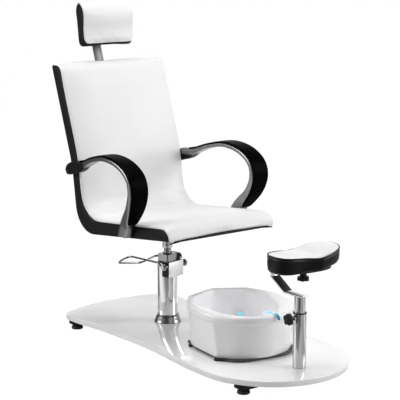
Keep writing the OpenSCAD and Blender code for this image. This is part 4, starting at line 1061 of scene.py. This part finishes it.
# The shell's rings: share from foot to rim, inset, height over the board and share of the deck's width
LOW, HIGH = BATH_LOW, BATH_H
OUTSIDE = [
    (0, 14, LOW), (0, 5, LOW), (0, 1.2, LOW + 1.5), (0, 0, LOW + 5), (0.1, 0, LOW + 27),
    (0.2, 0, LOW + 50), (0.3, 0, HIGH - 79), (0.38, 0, HIGH - 56), (0.44, 0, HIGH - 44),
    (0.5, 0, HIGH - 34), (0.52, 0, HIGH - 32), (0.9, 2.5, HIGH - 28), (0.97, 1.2, HIGH - 26.4),
    (1, 0, HIGH - 24), (1, 0, HIGH - 20), (1, 0.4, HIGH - 10), (1, 1.6, HIGH - 6), (1, 4, HIGH - 2.6),
    (1, 8, HIGH - 0.6), (1, 13, HIGH)]
INSIDE = [
    (1, 13, HIGH - 1.5, 0.3), (1, 12, HIGH - 3.5, 0.65), (1, 10, HIGH - 6, 0.9), (1, 9, HIGH - 8, 0.98),
    (1, 9, HIGH - 11, 1.02), (0.9, 8, HIGH - 22, 1.0), (0.7, 8, HIGH - 42, 0.9), (0.5, 8, HIGH - 62, 0.75),
    (0.3, 8, HIGH - 84, 0.6), (0.1, 8, LOW + 46, 0.5), (0, 10, LOW + 30, 0.5), (0, 18, LOW + 15, 0.5),
    (0, 30, LOW + 8, 0.5), (0, 44, LOW + WALL + 0.5, 0.5), (0, 62, LOW + WALL, 0.5), (0, 90, LOW + WALL, 0.5),
    (0, 110, LOW + WALL, 0.5)]
# Rise of the round lens towards the rear, and the radius and height of its rings
LENS_TILT = 0.07
LENS_PROFILE = [(27, -4), (27, 0), (26, 2.2), (24, 3.2), (21.5, 2.8), (19.5, 3.6), (17, 5.2), (13, 5.4),
                (9, 4.4), (4, 3.8), (1.5, 3.7)]
TAIL = [(5, -24, 1), (7, -33, 3), (8, -42, 1), (9, -49, -6), (9, -51, -13)]  # from the round lens' middle


def on_bath(x, y, z):
    """From the bath's own place to the pump's frame."""
    c, s = cosd(BATH_TURN), sind(BATH_TURN)
    return (x * c - y * s, x * s + y * c + BATH_Y, z + BOARD_TOP)


def deck_width(x, y):
    """Width of the rim's sloping deck, widest at the bath's sides and narrow along its rear."""
    side = ease((abs(x) / RIM_X - 0.2) / 0.6)
    return mix(23.0, 52.0, side) * (1 - 0.62 * ease(y / RIM_Y + 0.35))


def bath_outline(share):
    """The bath's outline in plan between its foot (share 0) and its rim (share 1), corner by corner."""
    half = []
    for foot, rim in zip(FOOT_CORNERS, RIM_CORNERS):
        roundness = mix(foot[2], rim[2], ease((share - 0.55) / 0.35))
        half.append((mix(foot[0] * BASE_X, rim[0] * RIM_X, share),
                     mix(foot[1] * BASE_Y, rim[1] * RIM_Y, share), roundness))
    corners = half + [(-x, y, r) for x, y, r in half[-2:0:-1]]
    ring, n = [], len(corners)
    for i, (x, y, r) in enumerate(corners):
        before, after = corners[i - 1], corners[(i + 1) % n]
        for k in range(9):
            t = k / 8
            into, out = r * (1 - t) ** 2, r * t ** 2
            ring.append((x + into * (before[0] - x) + out * (after[0] - x),
                         y + into * (before[1] - y) + out * (after[1] - y)))
        rest = 1 - r - after[2]
        if rest > 0.05:
            for k in (1, 2, 3):
                ring.append(between((x, y), after, r + rest * k / 4))
        else:
            ring += [ring[-1]] * 3
    return ring


def bath_ring(share, inset, z, deck=0.0):
    """The outline moved in by inset, and by a share of the deck, at a height over the board."""
    ring = bath_outline(share)
    out, n = [], len(ring)
    for i, p in enumerate(ring):
        a, b = ring[i - 4], ring[(i + 4) % n]
        d = math.dist(a, b)
        move = inset + deck * deck_width(*p)
        if deck:
            move -= POCKET * ease(1.4 - math.dist(p, LAMP) / 45) * ease((122 - z) / 25)
        lift = REAR_LIFT * max(0.0, z - BATH_H / 2) / BATH_H * (1 + p[1] / RIM_Y)
        out.append(on_bath(p[0] - move * (b[1] - a[1]) / d, p[1] + move * (b[0] - a[0]) / d, z + lift))
    return out


def pad_turns(dx, dy):
    """Angles round a pad that is drawn out along (dx, dy), each with its share of the way along it."""
    ahead = math.degrees(math.atan2(dy, dx))
    return ([(ahead - 90 + 18 * k, 1) for k in range(11)] + [(ahead + 90 + 18 * k, 0) for k in range(11)])


class SPA_OT_shape_foot_bath(bpy.types.Operator):
    """Make the foot bath's shell with its rolled rim and basin"""
    bl_idname = "spa.shape_foot_bath"
    bl_label = "Shape Foot Bath"

    def execute(self, context):
        tones = context.scene.spa_colours
        piece = wrap("bath_shell", [bath_ring(*level) for level in OUTSIDE + INSIDE], angle=26)
        finish_piece(piece, self.lit_acrylic(tones), "bath", "bath_white", "bath_body")
        # The base's near-black tone is painted shade: it stands in for the shadow under the shell.
        dress(moulded("bath_underside_painted_shade", (0.08, 0.08, 0.08), 0.6), "bath_base")
        self.make_feet(moulded("bath_rubber", (0.008, 0.008, 0.008), 0.5, 500.0, 0.2))
        self.make_lenses(tones)
        return {"FINISHED"}

    def lit_acrylic(self, tones):
        """White acrylic. The basin's walls, which face its middle, glow faintly white: painted light that
        brightens the basin.
        """
        f = Finish("bath_acrylic", tones.bath_shell, 0.3, coat_weight=0.25, coat_roughness=0.1,
                   emission_strength=0.075)
        drift = f.noise(11.0, 3.0)
        f.shade(drift.above(0.5, 0.4), tuple(c * 0.95 for c in tones.bath_shell), 0.5)
        f.put("Roughness", 0.26 + drift * 0.08)
        middle = at(*on_bath(0, 0, 90))
        inward = f.node("ShaderNodeVectorMath", {"operation": "SUBTRACT"}, {0: middle, 1: f.place})
        facing = f.node("ShaderNodeNewGeometry", {}, {}, "Normal")
        painted_glow_mask = f.node("ShaderNodeVectorMath", {"operation": "DOT_PRODUCT"}, {0: inward, 1: facing}, "Value")
        # Painted light: the walls that face the basin's middle glow white, to lighten the basin.
        f.put("Emission Color", f.blend(painted_glow_mask.above(0.03, 0.03), DARK, LIGHT))
        f.bump(f.noise(700.0, 2.0), 0.02, 0.00012)
        return f.material

    def make_feet(self, rubber):
        """Four rubber pads, each from its foot under the base out to the shell's corner."""
        for end, (x, y, far_x, far_y, r) in (("front_", FRONT_FOOT), ("rear_", REAR_FOOT)):
            for side, name in ((1, "left"), (-1, "right")):
                turns = pad_turns(side * (far_x - x), far_y - y)
                rings = []
                for z, less in FOOT_LEVELS:
                    rings.append([on_bath(side * mix(x, far_x, t) + (r - less) * cosd(a),
                                          mix(y, far_y, t) + (r - less) * sind(a), z) for a, t in turns])
                piece = wrap("bath_foot_" + end + name, rings, angle=40)
                finish_piece(piece, rubber, "bath", "foot_black")
        dress(rubber, "bath_feet")

    def make_lenses(self, tones):
        """A round light in the basin's wall, and the clear channel with its round lens on the front deck."""
        white = tuple(tones.bath_shell)
        lamp = lit_lens("bath_lamp_light", white, tones.lens, 0.55, on_bath(*LAMP, LAMP_Z), 15.0)
        glass = refined("bath_lamp", "bath_lamp_lens", lamp, bevel=1.6)
        face, outward = at(*on_bath(*LAMP, LAMP_Z)), Vector((sind(LAMP_WAY), cosd(LAMP_WAY), 0.0))
        for v in glass.data.vertices:
            v.co -= outward * max(0.0, (v.co - face).dot(outward) - LAMP_DEPTH * MM)
        x, y, z = LENS
        disc = lit_lens("bath_channel_light", white, tones.lens, 0.22, on_bath(x, y, z + 6), 24.0)
        rings = [[on_bath(x + r * cosd(a), y + r * sind(a), z + up + LENS_TILT * r * sind(a))
                  for a in range(0, 360, 8)] for r, up in LENS_PROFILE]
        piece = wrap("bath_channel_lens", rings, angle=50)
        finish_piece(piece, disc, "bath", "lens_aqua", "bath_spout")
        clear = lit_lens("bath_channel_tail", (0.03, 0.26, 0.42), (0.10, 0.50, 0.70), 0.25,
                         on_bath(x + 6, y - 34, z + 2), 14.0)
        path = spline([(x + dx, y + dy, z + dz) for dx, dy, dz in TAIL], 5)
        tail = tube("bath_channel_spout", [on_bath(*p) for p in path], 5.6, 14,
                    lambda u: 0.7 + 0.3 * ease(min(u, 1 - u) / 0.25))
        finish_piece(tail, clear, "bath", "lens_aqua")


# ---------------------------------------------------------------- board, pump, column and frame

def is_slanted(face):
    """One of the broad faces of the bracket's slanted leg. They get black paint as painted shade, for the
    dark reflection the chrome shows there.
    """
    return 0.25 < abs(face.normal.z) < 0.93 and face.area > 40 * MM * MM


def is_capped(face):
    """The valve block's side towards -X, which has a plastic cap."""
    return face.normal.x < -0.9


class SPA_OT_dress_hardware(bpy.types.Operator):
    """Ease the edges of the board, pump, lever, column and knobs, and give each its finish"""
    bl_idname = "spa.dress_hardware"
    bl_label = "Dress Hardware"

    def execute(self, context):
        board = lacquer("board_white_gloss", (0.92, 0.92, 0.92), 0.11)
        chrome = polished("chrome", (0.88, 0.88, 0.89), 0.07)
        satin = polished("satin_steel", (0.165, 0.165, 0.168), 0.42, 0.16, (1, 1, 14))
        zinc = polished("zinc_plate", (0.60, 0.60, 0.59), 0.3)
        silver = polished("cast_aluminium", (0.86, 0.86, 0.86), 0.42, 0.12)
        # Shaded and dark chrome are dimmer copies of the chrome: their darker colour is painted shade, for
        # the darker reflections these parts show.
        shaded = polished("shaded_chrome", (0.60, 0.60, 0.61), 0.09)
        dark = polished("shade_darkened_chrome", (0.34, 0.34, 0.345), 0.12)
        black = moulded("frame_black_paint", (0.010, 0.010, 0.010), 0.38, 420.0, 0.1, specular_ior_level=0.25)
        plastic = moulded("black_plastic", (0.007, 0.007, 0.007), 0.34, 700.0, 0.1, specular_ior_level=0.2)
        rubber = moulded("black_rubber", (0.016, 0.016, 0.016), 0.62, 480.0, 0.2)
        ply = timber("plywood", (0.62, 0.44, 0.26), (0.42, 0.27, 0.14))
        refined("base_board", "gloss_board", board, angle=50)
        self.coat(black, "_painted", 1.2, "rear_rail", "front_rail", "spine_rail", "column_plate",
                  "seat_plate", "headrest_guide")
        self.coat(plastic, "_moulded", 1.4, "rail_caps", "head_cap", "clamp_knob", "pad_knob", "column_bush")
        self.coat(rubber, "_rubber", 1.2, "foot_rear_left", "foot_rear_right", "foot_front_left",
                  "foot_front_right", "piston_seal")
        self.coat(chrome, "_chromed", 0.9, "pump_cylinder")
        self.coat(shaded, "_chromed", 0.9, "post_tube", "column_tube", "seat_hub")
        self.coat(dark, "_chromed", 0.9, "pump_flange", "pump_skirt", "pump_head", "piston")
        # The bracket's slanted faces get black paint: painted shade for the chrome's dark reflection there.
        self.repaint(self.coat(chrome, "_chromed", 0.9, "footrest_bracket"), black, is_slanted)
        refined("lever", "lever_chromed", dark, subdivide=1, angle=60)
        self.repaint(self.coat(silver, "_cast", 1.6, "valve_block"), plastic, is_capped)
        self.coat(zinc, "_plated", 0.4, "lever_shaft", "lever_bolts", "flange_bolts", "plate_bolts",
                  "plate_screws", "guide_screws", "bar_screws", "skirt_screw", "pump_plunger")
        self.coat(satin, "_brushed", 0.8, "headrest_bar")
        dress(ply, "seat_core", "headrest_board")
        dress(moulded("pad_underside_cloth", (0.012, 0.012, 0.012), 0.8, 300.0, 0.3), "pad_board")
        return {"FINISHED"}

    def coat(self, finish, ending, bevel, *nodes):
        """Eases the edges of the nodes, gives them one finish and returns the last one's piece."""
        for node in nodes:
            piece = refined(node, node + ending, finish, bevel=bevel)
        return piece

    def repaint(self, piece, material, chosen):
        """Gives a second material to the faces that chosen picks."""
        piece.data.materials.append(material)
        for face in piece.data.polygons:
            face.material_index = int(chosen(face))


# ---------------------------------------------------------------- stage

# Share of a turn round the chair, from the west, and brightness of the panel there
PANELS = [(0.0, 0.55), (0.045, 0.25), (0.09, 0.13), (0.155, 0.15), (0.185, 0.35), (0.215, 0.65),
          (0.27, 0.42), (0.31, 0.40), (0.335, 1.0), (0.38, 0.9), (0.44, 0.6), (0.52, 0.55), (0.58, 1.0),
          (0.70, 1.0), (0.76, 0.1), (0.83, 0.13), (0.88, 0.95), (0.95, 0.9), (1.0, 0.55)]
# Name, place, target, side and power of each soft lamp
LAMPS = [("left", (-3.1, 2.1, 2.3), (0.0, 0.0, 0.45), 2.2, 80.0),
         ("right", (2.8, -2.8, 2.2), (0.0, 0.0, 0.55), 2.4, 90.0),
         ("top", (0.2, -0.1, 3.5), (0.0, -0.1, 0.4), 2.0, 54.0)]
CAMERA_PLACE, CAMERA_DOWN, CAMERA_TURN = (-3.260, -4.0707, 1.587), 10.92, -38.65
CAMERA_LENS, CAMERA_SENSOR = 126.0, 36.0
BACKDROP_GLOW = 1.12


class SPA_OT_set_stage(bpy.types.Operator):
    """Lay the pale floor, hang the soft lamps and place the camera"""
    bl_idname = "spa.set_stage"
    bl_label = "Set Stage"

    def execute(self, context):
        self.lay_floor()
        self.light_world(context.scene)
        for lamp in LAMPS:
            self.hang_lamp(*lamp)
        camera = bpy.data.objects.new("camera", bpy.data.cameras.new("camera"))
        context.scene.collection.objects.link(camera)
        camera.data.lens, camera.data.sensor_width = CAMERA_LENS, CAMERA_SENSOR
        camera.location = CAMERA_PLACE
        camera.rotation_euler = (math.radians(90 - CAMERA_DOWN), 0.0, math.radians(CAMERA_TURN))
        context.scene.camera = camera
        context.scene.view_settings.view_transform = "Standard"
        return {"FINISHED"}

    def lay_floor(self):
        """White to the camera but for the chair's shadow, and part of the studio to what mirrors it."""
        clear_selection()
        bpy.ops.mesh.primitive_grid_add(x_subdivisions=8, y_subdivisions=8, size=14.0)
        floor = bpy.context.object
        floor.name = "floor"
        f = Finish("pale_floor", (0.58, 0.58, 0.58), 0.8)
        f.shade(f.noise(1.5, 2.0), (0.57, 0.57, 0.57))
        rays = f.tree.nodes.new("ShaderNodeLightPath")
        out = next(n for n in f.tree.nodes if n.type == "OUTPUT_MATERIAL")
        shown = Value(f, f.surface.outputs[0])
        for ray, share, color in (("Is Glossy Ray", 0.8, self.walls(f, f.place)),
                                  ("Is Camera Ray", 0.88, LIGHT)):
            glow = f.node("ShaderNodeEmission", {}, {"Color": color, "Strength": BACKDROP_GLOW})
            shown = f.node("ShaderNodeMixShader", {},
                           {0: Value(f, rays.outputs[ray]) * share, 1: shown, 2: glow})
        f.tree.links.new(shown.socket, out.inputs["Surface"])
        floor.data.materials.append(f.material)

    def walls(self, f, direction):
        """Bright and dark panels that stand round the chair, for its polished metal."""
        x, y = (f.node("ShaderNodeSeparateXYZ", {}, {0: direction}, axis) for axis in "XY")
        around = y.math("ARCTAN2", y, x)
        turn = f.node("ShaderNodeMapRange", {}, {"Value": around, "From Min": -math.pi, "From Max": math.pi})
        stops = [(share, (v, v, v, 1.0)) for share, v in PANELS]
        return f.node("ShaderNodeValToRGB", {"stops": stops}, {"Fac": turn})

    def light_world(self, scene):
        """White to the camera, soft light on the chair, and panels under a dark ceiling for its metal."""
        world = bpy.data.worlds.new("studio")
        world.use_nodes = True
        scene.world = world
        world.node_tree.nodes.clear()
        f = Finish.__new__(Finish)
        f.tree = world.node_tree
        sky = f.node("ShaderNodeTexCoord", {}, {}, "Generated")
        up = f.node("ShaderNodeSeparateXYZ", {}, {0: sky}, "Z")
        high = f.node("ShaderNodeMapRange", {}, {"Value": up, "From Min": 0.42, "From Max": 0.72})
        studio = f.blend(high, self.walls(f, sky), (0.10, 0.10, 0.10, 1.0))
        rays = f.tree.nodes.new("ShaderNodeLightPath")
        shown = f.node("ShaderNodeBackground", {}, {"Color": LIGHT, "Strength": 0.32})
        for ray, color in (("Is Glossy Ray", studio), ("Is Camera Ray", LIGHT)):
            layer = f.node("ShaderNodeBackground", {}, {"Color": color})
            shown = f.node("ShaderNodeMixShader", {}, {0: Value(f, rays.outputs[ray]), 1: shown, 2: layer})
        out = f.tree.nodes.new("ShaderNodeOutputWorld")
        f.tree.links.new(shown.socket, out.inputs["Surface"])

    def hang_lamp(self, name, place, target, size, power):
        lamp = bpy.data.objects.new(name, bpy.data.lights.new(name, "AREA"))
        bpy.context.scene.collection.objects.link(lamp)
        lamp.data.shape, lamp.data.size, lamp.data.energy = "SQUARE", size, power
        lamp.location = place
        lamp.rotation_euler = (Vector(target) - Vector(place)).to_track_quat("-Z", "Y").to_euler()


# ---------------------------------------------------------------- panel and registration

class SPA_PT_chair(bpy.types.Panel):
    """Sizes, colours and pieces of the spa chair"""
    bl_label = "Spa Chair"
    bl_idname = "SPA_PT_chair"
    bl_space_type = "VIEW_3D"
    bl_region_type = "UI"
    bl_category = "Spa Chair"

    def draw(self, context):
        for group in (context.scene.spa_sizes, context.scene.spa_colours):
            column = self.layout.column(align=True)
            for name in group.__annotations__:
                column.prop(group, name)
        for step in STEPS_IN_ORDER:
            self.layout.operator(step.bl_idname)


STEPS_IN_ORDER = (SPA_OT_upholster_seat, SPA_OT_fit_arms, SPA_OT_upholster_headrest,
                  SPA_OT_upholster_foot_pad, SPA_OT_shape_foot_bath, SPA_OT_dress_hardware, SPA_OT_set_stage)
CLASSES = (SpaChairSizes, SpaChairColours) + STEPS_IN_ORDER + (SPA_PT_chair,)


def register():
    for cls in CLASSES:
        bpy.utils.register_class(cls)
    bpy.types.Scene.spa_sizes = PointerProperty(type=SpaChairSizes)
    bpy.types.Scene.spa_colours = PointerProperty(type=SpaChairColours)


def unregister():
    del bpy.types.Scene.spa_colours
    del bpy.types.Scene.spa_sizes
    for cls in reversed(CLASSES):
        bpy.utils.unregister_class(cls)


def main():
    register()
    bpy.ops.spa.upholster_seat()
    bpy.ops.spa.fit_arms()
    bpy.ops.spa.upholster_headrest()
    bpy.ops.spa.upholster_foot_pad()
    bpy.ops.spa.shape_foot_bath()
    bpy.ops.spa.dress_hardware()
    bpy.ops.spa.set_stage()
    clear_selection()


if __name__ == "__main__":
    main()
